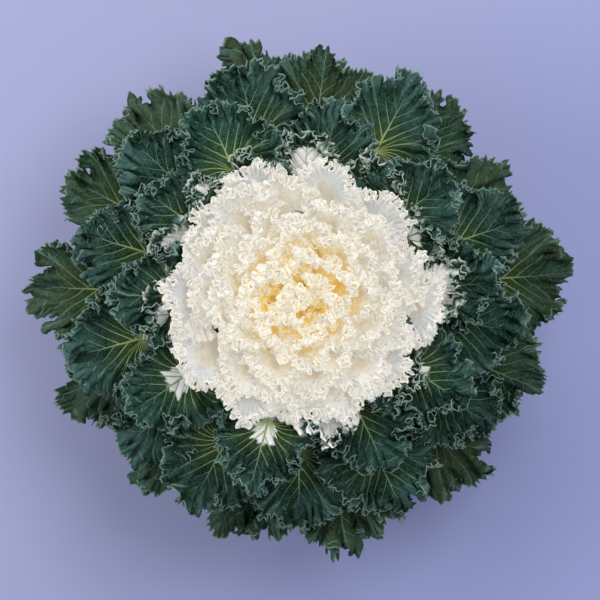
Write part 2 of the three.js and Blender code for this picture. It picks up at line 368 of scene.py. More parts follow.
@dataclass(frozen=True)
class Leaf:
    """One leaf: a stalk that opens into a fan, in mm and radians."""

    azimuth: float
    spine: Spine
    length: float
    width: float
    form: LeafForm
    plan: RingPlan
    odd: float
    vigour: float = 1.0
    tint: float = 0.0

    NECK_OPENING = 0.35  # share of the way out at which the fan has its full angle
    OPENING_POWER = 0.7  # below 1, so that it opens fast at first
    NECK_ANGLE = math.radians(70)
    NECK_SWELL = 1.6  # the stalk's thickness at the neck, over the blade's
    STALK_THINNING = 0.55  # share of its thickness that the stalk loses at its sides
    RIB_WIDTH = 2.2
    RIB_HEIGHT = 1.2
    STRAY = 0.16  # how far the lobes stray from even steps
    STRAY_PACE = 2.3  # how fast that changes along the margin
    ODD_STRAY = 20.0  # what the leaf's own number adds to the stray's angle
    ODD_LOBES = 9.0  # what it adds to the lobes'
    SAMPLES = 721  # points along the margin where it is measured
    PROBE = 0.5  # length of the step that finds the way outwards

    @property
    def neck(self) -> float:
        """Gives the neck's distance along the spine."""
        return self.spine.length() - self.length

    def fan_radius(self, angle: Array) -> Array:
        """Gives the fan's outline.

        Args:
            angle: angle from the midrib.

        Returns:
            The margin's distance from the neck, in mm.
        """
        wide = self.width / 2 / self.length
        ahead = np.maximum(np.cos(angle), 0.0)
        behind = np.maximum(-np.cos(angle), 0.0)
        rounded = 1 / np.hypot(ahead, np.abs(np.sin(angle)) / wide)
        uneven = angle + self.STRAY * np.sin(self.STRAY_PACE * angle + self.odd * self.ODD_STRAY)
        lobe = np.abs(np.sin(uneven * self.form.lobes + self.odd * self.ODD_LOBES))
        lobed = 1 - self.form.lobe_depth * (1 - lobe)
        return self.length * rounded * (1 - self.form.drawn_in * behind) * lobed

    def place(self, x: Array, y: Array) -> Array:
        """Lays points of the flat leaf on the plant.

        Args:
            x: distance along the spine, in mm.
            y: distance to the side, in mm.

        Returns:
            The points, in metres.
        """
        radius, height = self.spine.at(x / self.spine.length())
        bend = np.maximum(radius, self.form.least_bend) / self.form.wrap
        out = radius - bend * (1 - np.cos(y / bend))
        side = bend * np.sin(y / bend)
        cos, sin = math.cos(self.azimuth), math.sin(self.azimuth)
        return np.stack([out * cos - side * sin, out * sin + side * cos, height], axis=1) * MM

    def _margin_angles(self) -> tuple[Array, Array]:
        """Divides the margin evenly.

        Returns:
            The angle of each point of the margin, and its distance along the margin in mm.
        """
        end = math.radians(self.form.half_angle)
        fine = np.linspace(-end, end, self.SAMPLES)
        radius = self.fan_radius(fine)
        x, y = radius * np.cos(fine), radius * np.sin(fine)
        run = np.concatenate([[0.0], np.cumsum(np.hypot(np.diff(x), np.diff(y)))])
        even = np.linspace(0.0, run[-1], self.plan.margin + 1)
        return np.interp(even, run, fine), even

    def _stalk_rows(self, middle: float) -> list[Row]:
        """Gives the stalk's rows.

        Args:
            middle: where the midrib meets the margin, in mm along the margin.

        Returns:
            The rows from the root to the neck.
        """
        form = self.form
        across = np.linspace(-1.0, 1.0, self.plan.stalk_facets + 1)
        rows = []
        for k in range(self.plan.stalk_rows):
            done = k / (self.plan.stalk_rows - 1)
            width = between(form.root_width, form.neck_width, done)
            thick = between(form.root_thickness, form.thickness * self.NECK_SWELL, done)
            x = np.full_like(across, self.neck * (done - 1))
            body = thick * (1 - self.STALK_THINNING * across**2)
            rows.append(Row(x, across * width / 2, across * 0.0, middle + across, body))
        return rows

    def _fan_rows(self, angles: Array, even: Array) -> list[Row]:
        """Gives the fan's rows.

        Args:
            angles: the angle of each point of the margin.
            even: their distances along the margin, in mm.

        Returns:
            The rows from the neck to the margin.
        """
        narrowest = self.NECK_ANGLE / math.radians(self.form.half_angle)
        rows = []
        for share, step in self.plan.rings:
            opening = min(1.0, share / self.NECK_OPENING) ** self.OPENING_POWER
            angle = angles[::step] * between(narrowest, 1.0, opening)
            radius = self.fan_radius(angle) * share
            x, y = radius * np.cos(angle), radius * np.sin(angle)
            rib = np.exp(-((y / self.RIB_WIDTH) ** 2)) * (1 - share) * self.RIB_HEIGHT
            thick = self.form.thickness + rib
            rows.append(Row(x, y, np.full_like(x, share), even[::step], thick))
        return rows

    @staticmethod
    def _zip_rows(first: int, facets: int, second: int, finer: int) -> list[tuple[int, int, int]]:
        """Fills the strip between two rows.

        Args:
            first: the inner row's first point.
            facets: how many facets it has.
            second: the outer row's first point.
            finer: how many facets that has.

        Returns:
            The strip's triangles.
        """
        triangles = []
        i = j = 0
        while i < facets or j < finer:
            if j < finer and (i == facets or (j + 1) * facets <= (i + 1) * finer):
                triangles.append((first + i, second + j, second + j + 1))
                j += 1
            else:
                triangles.append((first + i, second + j, first + i + 1))
                i += 1
        return triangles

    def _triangles(self, rows: list[Row]) -> Array:
        """Fills the strips between all the rows.

        Args:
            rows: the rows, from the root to the margin.

        Returns:
            The numbers of each triangle's points.
        """
        triangles = []
        start = 0
        for row, following in zip(rows, rows[1:]):
            count = len(row.x)
            triangles += self._zip_rows(start, count - 1, start + count, len(following.x) - 1)
            start += count
        return np.array(triangles, dtype=np.int64)

    def sheet(self) -> Sheet:
        """Makes the leaf's smooth surface.

        Returns:
            The surface, with its upper side out.
        """
        angles, even = self._margin_angles()
        rows = self._stalk_rows(even[-1] / 2) + self._fan_rows(angles, even)
        x, y, share, along, thick = (np.concatenate(column) for column in zip(*rows))
        points = self.place(x + self.neck, y)
        angle = np.where(share > 0, np.arctan2(y, x), 0.0)
        ahead = x + self.neck + self.PROBE * np.cos(angle)
        beside = y + self.PROBE * np.sin(angle)
        return Sheet(
            points=points,
            triangles=self._triangles(rows),
            outward=(self.place(ahead, beside) - points) / (self.PROBE * MM),
            share=share,
            along=along * MM,
            blade=np.stack([x, y], axis=1) / BLADE_UNIT,
            thickness=thick * MM,
            odd=np.full(len(points), self.odd),
            vigour=np.full(len(points), self.vigour),
            tint=np.full(len(points), self.tint),
        )


# ---- The curly margin ----


@dataclass(frozen=True)
class Wave:
    """One size of wave along a leaf's margin, in mm."""

    height: float
    length: float
    start: float  # share of the way to the margin at which it begins
    sway: float = 0.0  # swing along the margin, as a share of the height
    reach: float = 0.0  # swing outwards, as a share of the height


@dataclass(frozen=True)
class Roll:
    """How far the margin's band turns up, here more and there less."""

    start: float  # share of the way to the margin at which it begins
    length: float  # width of the band, in mm
    turn: float  # greatest turn, in radians; negative turns it down
    patch: float  # how long a stretch that turns alike is, in mm


@dataclass(frozen=True)
class Curl:
    """How curly a kind of leaf is: its broad sweep, rolled band, folds, crimps and teeth."""

    sweep: Wave
    roll: Roll
    fold: Wave
    crimp: Wave
    tooth: Wave

    def finer(self, share: float) -> "Curl":
        """Gives the same curl with shorter and slightly lower waves.

        Args:
            share: how long the new waves are, as a share of these.

        Returns:
            The finer curl.
        """
        low = (1 + share) / 2
        waves = {}
        for name in ("fold", "crimp", "tooth"):
            wave = getattr(self, name)
            waves[name] = replace(wave, length=wave.length * share, height=wave.height * low)
        return replace(self, **waves)


class CurlyMargin:
    """The node tree that waves a leaf sheet, more and more towards its margin."""

    BANDS = tuple(part.name for part in fields(Curl))
    IN_MM = ("height", "length", "patch")
    SEED = 11.0
    SEED_STEP = 3.7  # from one band to the next
    ODD_STEP = 31.0  # what the leaf's own number adds to a noise's place
    ROLLED = (0.34, 0.62)  # noise at which the roll sets in and is full
    UNROLLED = 0.25  # share of the turn that the margin has the other way in between
    LEAST_TURN = 0.001  # keeps the arc's radius finite
    DRIFT = 1.3  # how many wavelengths the noise shifts the waves at most
    DRIFT_PACE = 0.45  # how fast that changes along the margin
    DRIFT_TWIST = 0.9  # how fast it changes on the way to the margin
    SWELL = 1.5  # share of its height that the noise gives a wave at most
    LEAST_SWELL = 0.25  # share that each wave has anyway
    SWELL_PACE = 0.4
    SWELL_ODD = 1.7
    TOOTH_SHIFT = 0.4  # moves the teeth off the waves' tops, in radians

    def __init__(self) -> None:
        """Builds the tree."""
        self.tree = bpy.data.node_groups.new("curly_margin", "GeometryNodeTree")
        self.identifiers: dict[str, str] = {}
        self.graph = graph = Graph(self.tree)
        self._socket("Sheet", "INPUT", "NodeSocketGeometry")
        self._socket("Finish", "INPUT", "NodeSocketMaterial")
        self._socket("Seed", "INPUT", "NodeSocketFloat")
        for band in self.BANDS:
            for size in self._sizes(band):
                self._socket(f"{band} {size}", "INPUT", "NodeSocketFloat")
        self._socket("Sheet", "OUTPUT", "NodeSocketGeometry")
        entry = graph.add("NodeGroupInput")
        inputs = {socket.name: Wire(graph, socket) for socket in entry.outputs if socket.name}
        sheet = inputs["Sheet"]
        for number, band in enumerate(self.BANDS):
            sizes = {size: inputs[f"{band} {size}"] for size in self._sizes(band)}
            seed = inputs["Seed"] + number * self.SEED_STEP
            if band == "roll":
                sheet = self._roll(sheet, sizes, seed)
            else:
                sheet = self._wave(sheet, sizes, seed, band == "tooth")
        sheet = graph.wire("GeometryNodeRealizeInstances", None, {0: sheet})
        material = {"Geometry": sheet, "Material": inputs["Finish"]}
        dressed = graph.wire("GeometryNodeSetMaterial", None, material)
        graph.add("NodeGroupOutput", None, {0: dressed})

    @staticmethod
    def _sizes(band: str) -> tuple[str, ...]:
        """Names the sizes that one band has."""
        return tuple(part.name for part in fields(Roll if band == "roll" else Wave))

    def _socket(self, name: str, direction: str, kind: str) -> None:
        """Adds an INPUT or OUTPUT socket of that name and type to the tree's outside."""
        item = self.tree.interface.new_socket(name=name, in_out=direction, socket_type=kind)
        if direction == "INPUT":
            self.identifiers[name] = item.identifier

    def _attribute(self, name: str, kind: str = "FLOAT") -> Wire:
        """Gives the value of one of the sheet's attributes."""
        settings = {"data_type": kind}
        return self.graph.wire("GeometryNodeInputNamedAttribute", settings, {"Name": name})

    def _frame(self) -> tuple[Wire, Wire]:
        """Gives the sheet's normal and the way to the margin in its plane.

        Returns:
            The two unit vectors.
        """
        graph = self.graph
        normal = graph.wire("GeometryNodeInputNormal")
        outward = self._attribute("outward", "FLOAT_VECTOR")
        lean = graph.vector("DOT_PRODUCT", outward, normal, output="Value")
        outward = graph.vector("SUBTRACT", outward, graph.vector("SCALE", normal, lean))
        return normal, graph.vector("NORMALIZE", outward)

    def _pace(self, length: Wire, seed: Wire) -> tuple[Wire, Wire]:
        """Gives how many steps of a length lie behind, and where this leaf's noises begin."""
        return self._attribute("along") / length, self._attribute("odd") * self.ODD_STEP + seed

    def _shift(self, sheet: Wire, *moves: tuple[Wire, Wire]) -> Wire:
        """Moves the sheet's points.

        Args:
            sheet: the sheet so far.
            moves: directions, each with how far.

        Returns:
            The moved sheet.
        """
        graph = self.graph
        offset, *others = (graph.vector("SCALE", way, far) for way, far in moves)
        for other in others:
            offset = graph.vector("ADD", offset, other)
        return graph.wire("GeometryNodeSetPosition", None, {"Geometry": sheet, "Offset": offset})

    def _roll(self, sheet: Wire, sizes: dict[str, Wire], seed: Wire) -> Wire:
        """Turns the margin's band up along an arc.

        Args:
            sheet: the sheet so far.
            sizes: the roll's sizes.
            seed: what sets where it turns more.

        Returns:
            The rolled sheet.
        """
        graph = self.graph
        along, odd = self._pace(sizes["patch"], seed)
        patchy = graph.ease(graph.noise(along + odd, 1.0, 1.0, flat=True), *self.ROLLED)
        turned = patchy * (1 + self.UNROLLED) - self.UNROLLED
        turn = sizes["turn"] * turned + self.LEAST_TURN
        past = graph.maths("MAXIMUM", self._attribute("share") - sizes["start"], 0.0)
        far = past / (1 - sizes["start"]) * sizes["length"]
        bend = turn / sizes["length"]
        angle = far * bend
        normal, outward = self._frame()
        ahead = graph.maths("SINE", angle) / bend - far
        up = (1 - graph.maths("COSINE", angle)) / bend
        return self._shift(sheet, (outward, ahead), (normal, up))

    def _wave(self, sheet: Wire, sizes: dict[str, Wire], seed: Wire, toothed: bool) -> Wire:
        """Adds one size of wave.

        Args:
            sheet: the sheet so far.
            sizes: the wave's sizes.
            seed: what sets its unevenness.
            toothed: whether it swings outwards once a wave and not twice.

        Returns:
            The waved sheet.
        """
        graph = self.graph
        along, odd = self._pace(sizes["length"], seed)
        share = self._attribute("share")
        drifting = along * self.DRIFT_PACE + share * self.DRIFT_TWIST + odd
        drift = graph.noise(drifting, 1.0, 1.0, flat=True)
        swelling = along * self.SWELL_PACE + odd * self.SWELL_ODD
        swell = graph.noise(swelling, 1.0, 1.0, flat=True) * self.SWELL + self.LEAST_SWELL
        phase = (along + drift * self.DRIFT + odd) * CIRCLE
        rise = graph.ease(share, sizes["start"], 1.0)
        tall = sizes["height"] * rise * swell * self._attribute("vigour")
        normal, outward = self._frame()
        sideways = graph.vector("CROSS_PRODUCT", normal, outward)
        up = tall * graph.maths("SINE", phase)
        sway = -tall * sizes["sway"] * graph.maths("SINE", phase * 2.0)
        if toothed:
            out = 1 - 2 * abs(graph.maths("SINE", phase * 0.5 + self.TOOTH_SHIFT))
        else:
            out = -graph.maths("COSINE", phase * 2.0)
        push = tall * sizes["reach"] * out
        return self._shift(sheet, (normal, up), (sideways, sway), (outward, push))

    def fit(self, piece: bpy.types.Object, curl: Curl, finish: bpy.types.Material) -> None:
        """Puts the tree on a leaf sheet, with that leaf's sizes.

        Args:
            piece: the sheet's object.
            curl: how curly it is.
            finish: the material of its upper side.
        """
        modifier = piece.modifiers.new("curly_margin", "NODES")
        modifier.node_group = self.tree
        modifier[self.identifiers["Finish"]] = finish
        modifier[self.identifiers["Seed"]] = self.SEED
        for band in self.BANDS:
            for size in self._sizes(band):
                unit = MM if size in self.IN_MM else 1.0
                value = getattr(getattr(curl, band), size)
                modifier[self.identifiers[f"{band} {size}"]] = value * unit


# ---- Finishes ----


class Finish:
    """A material and its graph, with the one shader that all finishes end in."""

    def __init__(self, name: str) -> None:
        """Starts a material.

        Args:
            name: the material's name.
        """
        self.material = bpy.data.materials.new(name)
        self.material.use_nodes = True
        self.graph = Graph(self.material.node_tree)

    def close(self, sockets: dict[str, object]) -> bpy.types.Material:
        """Ends the graph in the shader.

        Args:
            sockets: the shader's inputs.

        Returns:
            The material.
        """
        shader = self.graph.wire("ShaderNodeBsdfPrincipled", None, sockets)
        self.graph.add("ShaderNodeOutputMaterial", None, {"Surface": shader})
        return self.material

    def place(self) -> Wire:
        """Gives the object's own coordinates."""
        return self.graph.wire("ShaderNodeTexCoord", output="Object")

    def attribute(self, name: str) -> Wire:
        """Gives a number that is stored on the mesh under this name."""
        return self.graph.wire("ShaderNodeAttribute", {"attribute_name": name}, output="Fac")

    def bump(self, height: Wire, strength: float, distance: float) -> Wire:
        """Tilts the normal by a height, of which one unit is distance metres deep."""
        sockets = {"Strength": strength, "Distance": distance, "Height": height}
        return self.graph.wire("ShaderNodeBump", None, sockets)


@dataclass(frozen=True)
class VeinMasks:
    """What the finishes read of a leaf's veins."""

    strong: Wire  # 1 on a main vein or its branches
    net: Wire  # 1 on the fine net between them
    out: Wire  # distance from the neck, as a share of the veins' reach
    lean: Wire  # angle from the midrib
    turn: Wire  # a whole number on each main vein
    quilt: Wire  # how far the blade puffs up between two veins


@dataclass(frozen=True)
class Veins:
    """The veins of a leaf, in mm and radians: a fan at the neck, then pairs along the midrib."""

    reach: float = 58.0  # how far they run from the neck
    wander_scale: float = 4.0  # of the noise that bends them
    wander: float = 2.0  # how far it moves them to the side
    midrib_width: float = 1.7
    midrib_least: float = 0.4
    midrib_start: Range = (-2.0, 0.5)
    main_width: float = 1.2
    least_width: float = 0.28
    main_strength: float = 0.9
    soft_edge: Range = (0.22, 0.62)  # from a line's middle, as a share of its width
    behind: Range = (1.35, 1.95)  # angle past which the veins fade
    behind_fade: float = 0.8
    quilt: float = 0.14  # how far the blade puffs up, as a share of the veins' distance

    # The fan
    spacing: float = 0.31  # angle between two of its veins
    crowding: float = 1.2  # how much closer they stand at the neck
    crowding_reach: float = 16.0  # how far out that fades
    fan_start: Range = (0.0, 0.05)  # angle past the pairs' angle

    # The pairs
    pair_step: float = 9.5  # distance between two pairs along the midrib
    pair_angle: float = 0.60  # angle at which a pair leaves the midrib
    pair_shift: float = 0.2  # how far each of a pair is off their middle, in steps
    pair_wander: float = 0.2  # how far the noise shifts them, in steps

    # The branches, their twigs, and the net
    branch_width: float = 0.45
    branch_strength: float = 0.65
    branch_start: float = 0.30  # share of the reach at which the veins fork
    branch_spread: float = 0.55
    stray: float = 0.35  # how much later a vein forks at most
    stray_mean: float = 0.17  # how much later it forks on average, which is taken off again
    stray_pace: float = 0.37
    stray_seed: float = 5.0
    twig_width: float = 0.8  # over the branches' width
    twig_strength: float = 0.7
    twig_start: float = 0.22  # share of the reach past the fork
    twig_spread: float = 0.6  # over the branches' spread
    fork_fade: Range = (0.0, 0.03)  # share of the reach in which a fork sets in
    net_scale: float = 42.0
    net_edge: Range = (0.01, 0.16)

    def masks(self, finish: Finish) -> VeinMasks:
        """Draws the veins.

        Args:
            finish: the finish that they are part of.

        Returns:
            The masks.
        """
        graph = finish.graph
        blade = graph.wire("ShaderNodeUVMap", {"uv_map": "blade"})
        flat = graph.vector("SCALE", blade, BLADE_UNIT)
        wander = graph.noise(blade, self.wander_scale, 2.0) - 0.5
        x, y, _ = graph.split(flat)
        y = y + wander * self.wander
        side = abs(y)
        away = graph.vector("LENGTH", flat, output="Value")
        out = away / self.reach
        lean = graph.maths("ARCTAN2", side, x)
        crowd = 1 + self.crowding * graph.maths("EXPONENT", away / -self.crowding_reach)
        fan = graph.maths("MAXIMUM", lean * crowd - self.pair_angle, 0.0)
        ahead = graph.maths("MAXIMUM", x - side / math.tan(self.pair_angle), 0.0)
        fanned = graph.ease(fan, *self.fan_start)
        turn = fan / self.spacing - ahead / self.pair_step + wander * self.pair_wander
        turn = turn + graph.maths("SIGN", y) * self.pair_shift
        slant = math.sin(self.pair_angle)
        arc = away * self.spacing * fanned + self.pair_step * slant * (1 - fanned)
        run = away * fanned + side / slant * (1 - fanned)
        thin = 1 - graph.maths("MINIMUM", out, 1.0)
        nearest = graph.maths("ROUND", turn)
        from_vein = abs(turn - nearest)
        width = self.main_width * thin * thin + self.least_width
        main = self._line(graph, from_vein * arc, width) * self.main_strength
        branch = self._branches(graph, nearest, from_vein, arc, run / self.reach, thin)
        branch = branch * self.branch_strength
        rib = self._line(graph, side, self.midrib_width * thin * thin + self.midrib_least)
        rib = rib * graph.ease(x, *self.midrib_start)
        in_front = 1 - graph.ease(lean, *self.behind) * self.behind_fade
        strong = graph.maths("MAXIMUM", main, branch) * in_front
        strong = graph.maths("MAXIMUM", strong, rib)
        puffed = 0.5 - 0.5 * graph.maths("COSINE", turn * CIRCLE)
        net = self._net(graph, blade)
        return VeinMasks(strong, net, out, lean, turn, puffed * arc * self.quilt)

    def _branches(
        self, graph: Graph, vein: Wire, from_vein: Wire, arc: Wire, run: Wire, thin: Wire
    ) -> Wire:
        """Draws the branches that leave each main vein on both sides, and their twigs.

        Args:
            graph: the graph.
            vein: the nearest main vein's number.
            from_vein: distance from it, as a share of the distance between two.
            arc: the distance between two main veins, in mm.
            run: distance along the vein, as a share of the reach.
            thin: 1 at the neck and 0 at the reach.

        Returns:
            1 on the branches and 0 off them.
        """
        stray = vein * self.stray_pace + self.stray_seed
        stray = graph.noise(stray, 1.0, 0.0, flat=True) * self.stray
        begin = run - self.branch_start - stray + self.stray_mean
        begin = graph.maths("MAXIMUM", begin, 0.0)
        again = graph.maths("MAXIMUM", begin - self.twig_start, 0.0)
        forked = abs(from_vein - begin * self.branch_spread)
        twig = abs(forked - again * self.branch_spread * self.twig_spread)
        width = self.branch_width * thin + self.least_width
        branch = self._line(graph, forked * arc, width) * graph.ease(begin, *self.fork_fade)
        twigs = self._line(graph, twig * arc, width * self.twig_width)
        twigs = twigs * graph.ease(again, *self.fork_fade)
        return graph.maths("MAXIMUM", branch, twigs * self.twig_strength)

    def _net(self, graph: Graph, blade: Wire) -> Wire:
        """Draws the fine net between the veins: 1 on it and 0 in its meshes."""
        sockets = {"Vector": blade, "Scale": self.net_scale}
        edge = graph.wire("ShaderNodeTexVoronoi", {"feature": "DISTANCE_TO_EDGE"}, sockets)
        return 1 - graph.ease(edge, *self.net_edge)

    def _line(self, graph: Graph, distance: Wire, width: Wire) -> Wire:
        """Draws a soft-edged line, 1 at no distance from its middle and 0 a width away."""
        return 1 - graph.ease(distance / width, *self.soft_edge)


@dataclass(frozen=True)
class LeafFinish:
    """The finishes of a green leaf: its upper face, its underside and its cut margin.

    The scales are those of noises, in waves to a metre. A range says where a colour or a mask
    sets in and where it is full, and a share says how much of it then shows.
    """

    name: str
    deep: Colour
    fresh: Colour
    old: Colour
    old_share: float
    vein: Colour = (0.28, 0.37, 0.14)
    vein_far: Colour = (0.09, 0.17, 0.14)
    bloom: Colour = (0.068, 0.136, 0.134)
    mint: Colour = (0.23, 0.35, 0.30)
    mint_start: float = 0.978  # share of the way to the margin at which the mint edge begins
    mint_share: float = 0.7
    under: Colour = (0.028, 0.066, 0.044)
    pale: Colour = (0.80, 0.80, 0.76)
    lilac: Colour = (0.66, 0.69, 0.72)
    olive: Colour = (0.036, 0.058, 0.005)
    veins: Veins = Veins()

    CLOUD_SCALE = 38.0
    FRESH_CLOUD = (0.3, 0.7)
    ODD_CLOUD = 0.3  # how far the leaf's own number shifts the fresh green
    AGE_SCALE = 17.0
    AGED = (0.66, 0.8)
    OLIVE_REACH = (0.08, 0.6)
    OLIVE_SHARE = 0.75
    FLECK_SCALE = 260.0
    FLECKED = (0.4, 0.75)
    FLECK_SHARE = 0.12
    BLOOM_REACH = (0.4, 1.0)
    BLOOM_CLOUD = (0.33, 0.63)
    BLOOM_SHARE = 0.6
    GRIT_SCALE = 1000.0
    GRITTY = (0.45, 0.7)
    GRIT_SHARE = 0.16
    NET_SHARE = 0.2
    VEIN_REACH = (0.05, 0.7)
    STALK_REACH = (0.0, 0.05)
    STALK_SHARE = 0.5

    # How far out a whitened leaf is white
    STREAK_SCALE = 0.9  # in waves to a vein
    STREAK_REACH = 0.4
    FLECK_REACH = 0.06
    SIDE_ANGLE = (0.5, 1.3)  # angle from the midrib at which the white ends sooner
    SIDE_REACH = 0.3
    WHITE_REACH = 0.8  # share of the way out at tint 1
    WHITE_EDGE = 0.03
    WHITENED = (0.05, 0.2)  # tint
    WHITE_VEINS = (0.6, 0.9)  # tint
    WHITE_VEIN_SHARE = 0.85
    WHITE_MARGIN = (1.05, 1.2)  # tint

    # Relief, as a share of the bump's depth, and gloss
    FLECK_RELIEF = 0.35
    VEIN_RELIEF = 0.7
    NET_RELIEF = 0.45
    BUMP = (0.55, 0.0012)
    ROUGHNESS = 0.5
    CLOUD_ROUGHNESS = 0.16
    VEIN_GLOSS = 0.1
    SPECULAR = 0.015

    # The underside and the margin
    BACK_CLOUD_SCALE = 55.0
    BACK_CLOUD_SHARE = 0.8
    BACK_VEIN_REACH = (0.05, 0.6)
    BACK_MINT = (0.975, 1.0)
    BACK_MINT_SHARE = 0.6
    BACK_VEIN_RELIEF = 0.8
    BACK_NET_RELIEF = 0.3
    BACK_BUMP = (0.5, 0.0012)
    BACK_ROUGHNESS = 0.62
    BACK_SPECULAR = 0.04
    RIM_CLOUD_SCALE = 120.0
    EDGE_ROUGHNESS = 0.1  # what the cloud adds on the underside and the margin

    def _ground(self, finish: Finish, veins: VeinMasks, cloud: Wire, fleck: Wire) -> Wire:
        """Mixes the green ground: deep and fresh, old and olive in parts, with a waxy bloom.

        Args:
            finish: the finish.
            veins: the leaf's veins.
            cloud: broad noise.
            fleck: fine noise.

        Returns:
            The colour.
        """
        graph = finish.graph
        place = finish.place()
        cloudy = cloud + (finish.attribute("odd") - 0.5) * self.ODD_CLOUD
        base = graph.blend(graph.ease(cloudy, *self.FRESH_CLOUD), self.deep, self.fresh)
        start, end = self.AGED
        ageing = graph.ease(graph.noise(place, self.AGE_SCALE, 2.0), start - self.old_share, end)
        base = graph.blend(ageing, base, self.old)
        by_neck = 1 - graph.ease(veins.out, *self.OLIVE_REACH)
        base = graph.blend(by_neck * self.OLIVE_SHARE, base, self.olive)
        flecked = graph.ease(fleck, *self.FLECKED) * self.FLECK_SHARE
        waxy = graph.ease(veins.out, *self.BLOOM_REACH) * self.BLOOM_SHARE
        waxy = flecked + waxy * graph.ease(cloud, *self.BLOOM_CLOUD)
        base = graph.blend(waxy, base, self.bloom)
        base = graph.blend(veins.net * self.NET_SHARE, base, self.vein_far)
        grit = graph.ease(graph.noise(place, self.GRIT_SCALE, 1.0), *self.GRITTY)
        return graph.blend(grit * self.GRIT_SHARE, base, self.bloom)

    def _windows(self, finish: Finish, veins: VeinMasks, streak: Wire, fleck: Wire) -> Wire:
        """Finds the white part of a whitened leaf, which runs out further between some veins.

        Args:
            finish: the finish.
            veins: the leaf's veins.
            streak: noise from vein to vein.
            fleck: fine noise.

        Returns:
            1 where the leaf is white and 0 where it is green.
        """
        graph = finish.graph
        tint = finish.attribute("tint")
        behind = graph.ease(veins.lean, *self.SIDE_ANGLE) * self.SIDE_REACH
        edge = finish.attribute("share") + behind + (streak - 0.5) * self.STREAK_REACH
        edge = edge + (fleck - 0.5) * self.FLECK_REACH
        end = tint * self.WHITE_REACH
        white = 1 - graph.ease(edge, end - self.WHITE_EDGE, end + self.WHITE_EDGE)
        return white * graph.ease(tint, *self.WHITENED)

    def face(self) -> bpy.types.Material:
        """Makes the upper face's finish: dark, waxy, with a fan of pale veins.

        Returns:
            The material.
        """
        finish = Finish(f"{self.name}_face")
        graph = finish.graph
        veins = self.veins.masks(finish)
        share = finish.attribute("share")
        tint = finish.attribute("tint")
        cloud = graph.noise(finish.place(), self.CLOUD_SCALE, 3.0)
        fleck = graph.noise(finish.place(), self.FLECK_SCALE, 2.0)
        streak = graph.noise(veins.turn, self.STREAK_SCALE, 1.0, flat=True)
        white = self._windows(finish, veins, streak, fleck)
        base = self._ground(finish, veins, cloud, fleck)
        base = graph.blend(white, base, graph.blend(streak, self.pale, self.lilac))
        vein = graph.blend(graph.ease(veins.out, *self.VEIN_REACH), self.vein, self.vein_far)
        whitened = white * graph.ease(tint, *self.WHITE_VEINS) * self.WHITE_VEIN_SHARE
        vein = graph.blend(whitened, vein, self.pale)
        stalk = (1 - graph.ease(share, *self.STALK_REACH)) * self.STALK_SHARE
        base = graph.blend(graph.maths("MAXIMUM", veins.strong, stalk), base, vein)
        mint = graph.blend(graph.ease(tint, *self.WHITE_MARGIN), self.mint, self.pale)
        base = graph.blend(graph.ease(share, self.mint_start, 1.0) * self.mint_share, base, mint)
        height = fleck * self.FLECK_RELIEF - veins.strong * self.VEIN_RELIEF
        height = height - veins.net * self.NET_RELIEF + veins.quilt
        rough = self.ROUGHNESS + self.CLOUD_ROUGHNESS * cloud - self.VEIN_GLOSS * veins.strong
        return finish.close(
            {
                "Base Color": base,
                "Roughness": rough,
                "Specular IOR Level": self.SPECULAR,
                "Normal": finish.bump(height, *self.BUMP),
            }
        )

    def back(self) -> bpy.types.Material:
        """Makes the underside's finish: paler and duller, with raised veins.

        Returns:
            The material.
        """
        finish = Finish(f"{self.name}_underside")
        graph = finish.graph
        veins = self.veins.masks(finish)
        cloud = graph.noise(finish.place(), self.BACK_CLOUD_SCALE, 3.0)
        base = graph.blend(cloud * self.BACK_CLOUD_SHARE, self.under, self.bloom)
        far = graph.ease(veins.out, *self.BACK_VEIN_REACH)
        vein = graph.blend(far, self.vein, self.vein_far)
        shown = graph.maths("MAXIMUM", veins.strong, veins.net * self.NET_SHARE)
        base = graph.blend(shown, base, vein)
        edge = graph.ease(finish.attribute("share"), *self.BACK_MINT)
        base = graph.blend(edge * self.BACK_MINT_SHARE, base, self.mint)
        height = veins.strong * self.BACK_VEIN_RELIEF + veins.net * self.BACK_NET_RELIEF
        return finish.close(
            {
                "Base Color": base,
                "Roughness": self.BACK_ROUGHNESS + self.EDGE_ROUGHNESS * cloud,
                "Specular IOR Level": self.BACK_SPECULAR,
                "Normal": finish.bump(height, *self.BACK_BUMP),
            }
        )

    def rim(self) -> bpy.types.Material:
        """Makes the finish of the margin's thin edge: pale mint.

        Returns:
            The material.
        """
        finish = Finish(f"{self.name}_margin")
        cloud = finish.graph.noise(finish.place(), self.RIM_CLOUD_SCALE, 2.0)
        base = finish.graph.blend(cloud, self.bloom, self.mint)
        rough = self.ROUGHNESS + self.EDGE_ROUGHNESS * cloud
        return finish.close({"Base Color": base, "Roughness": rough})


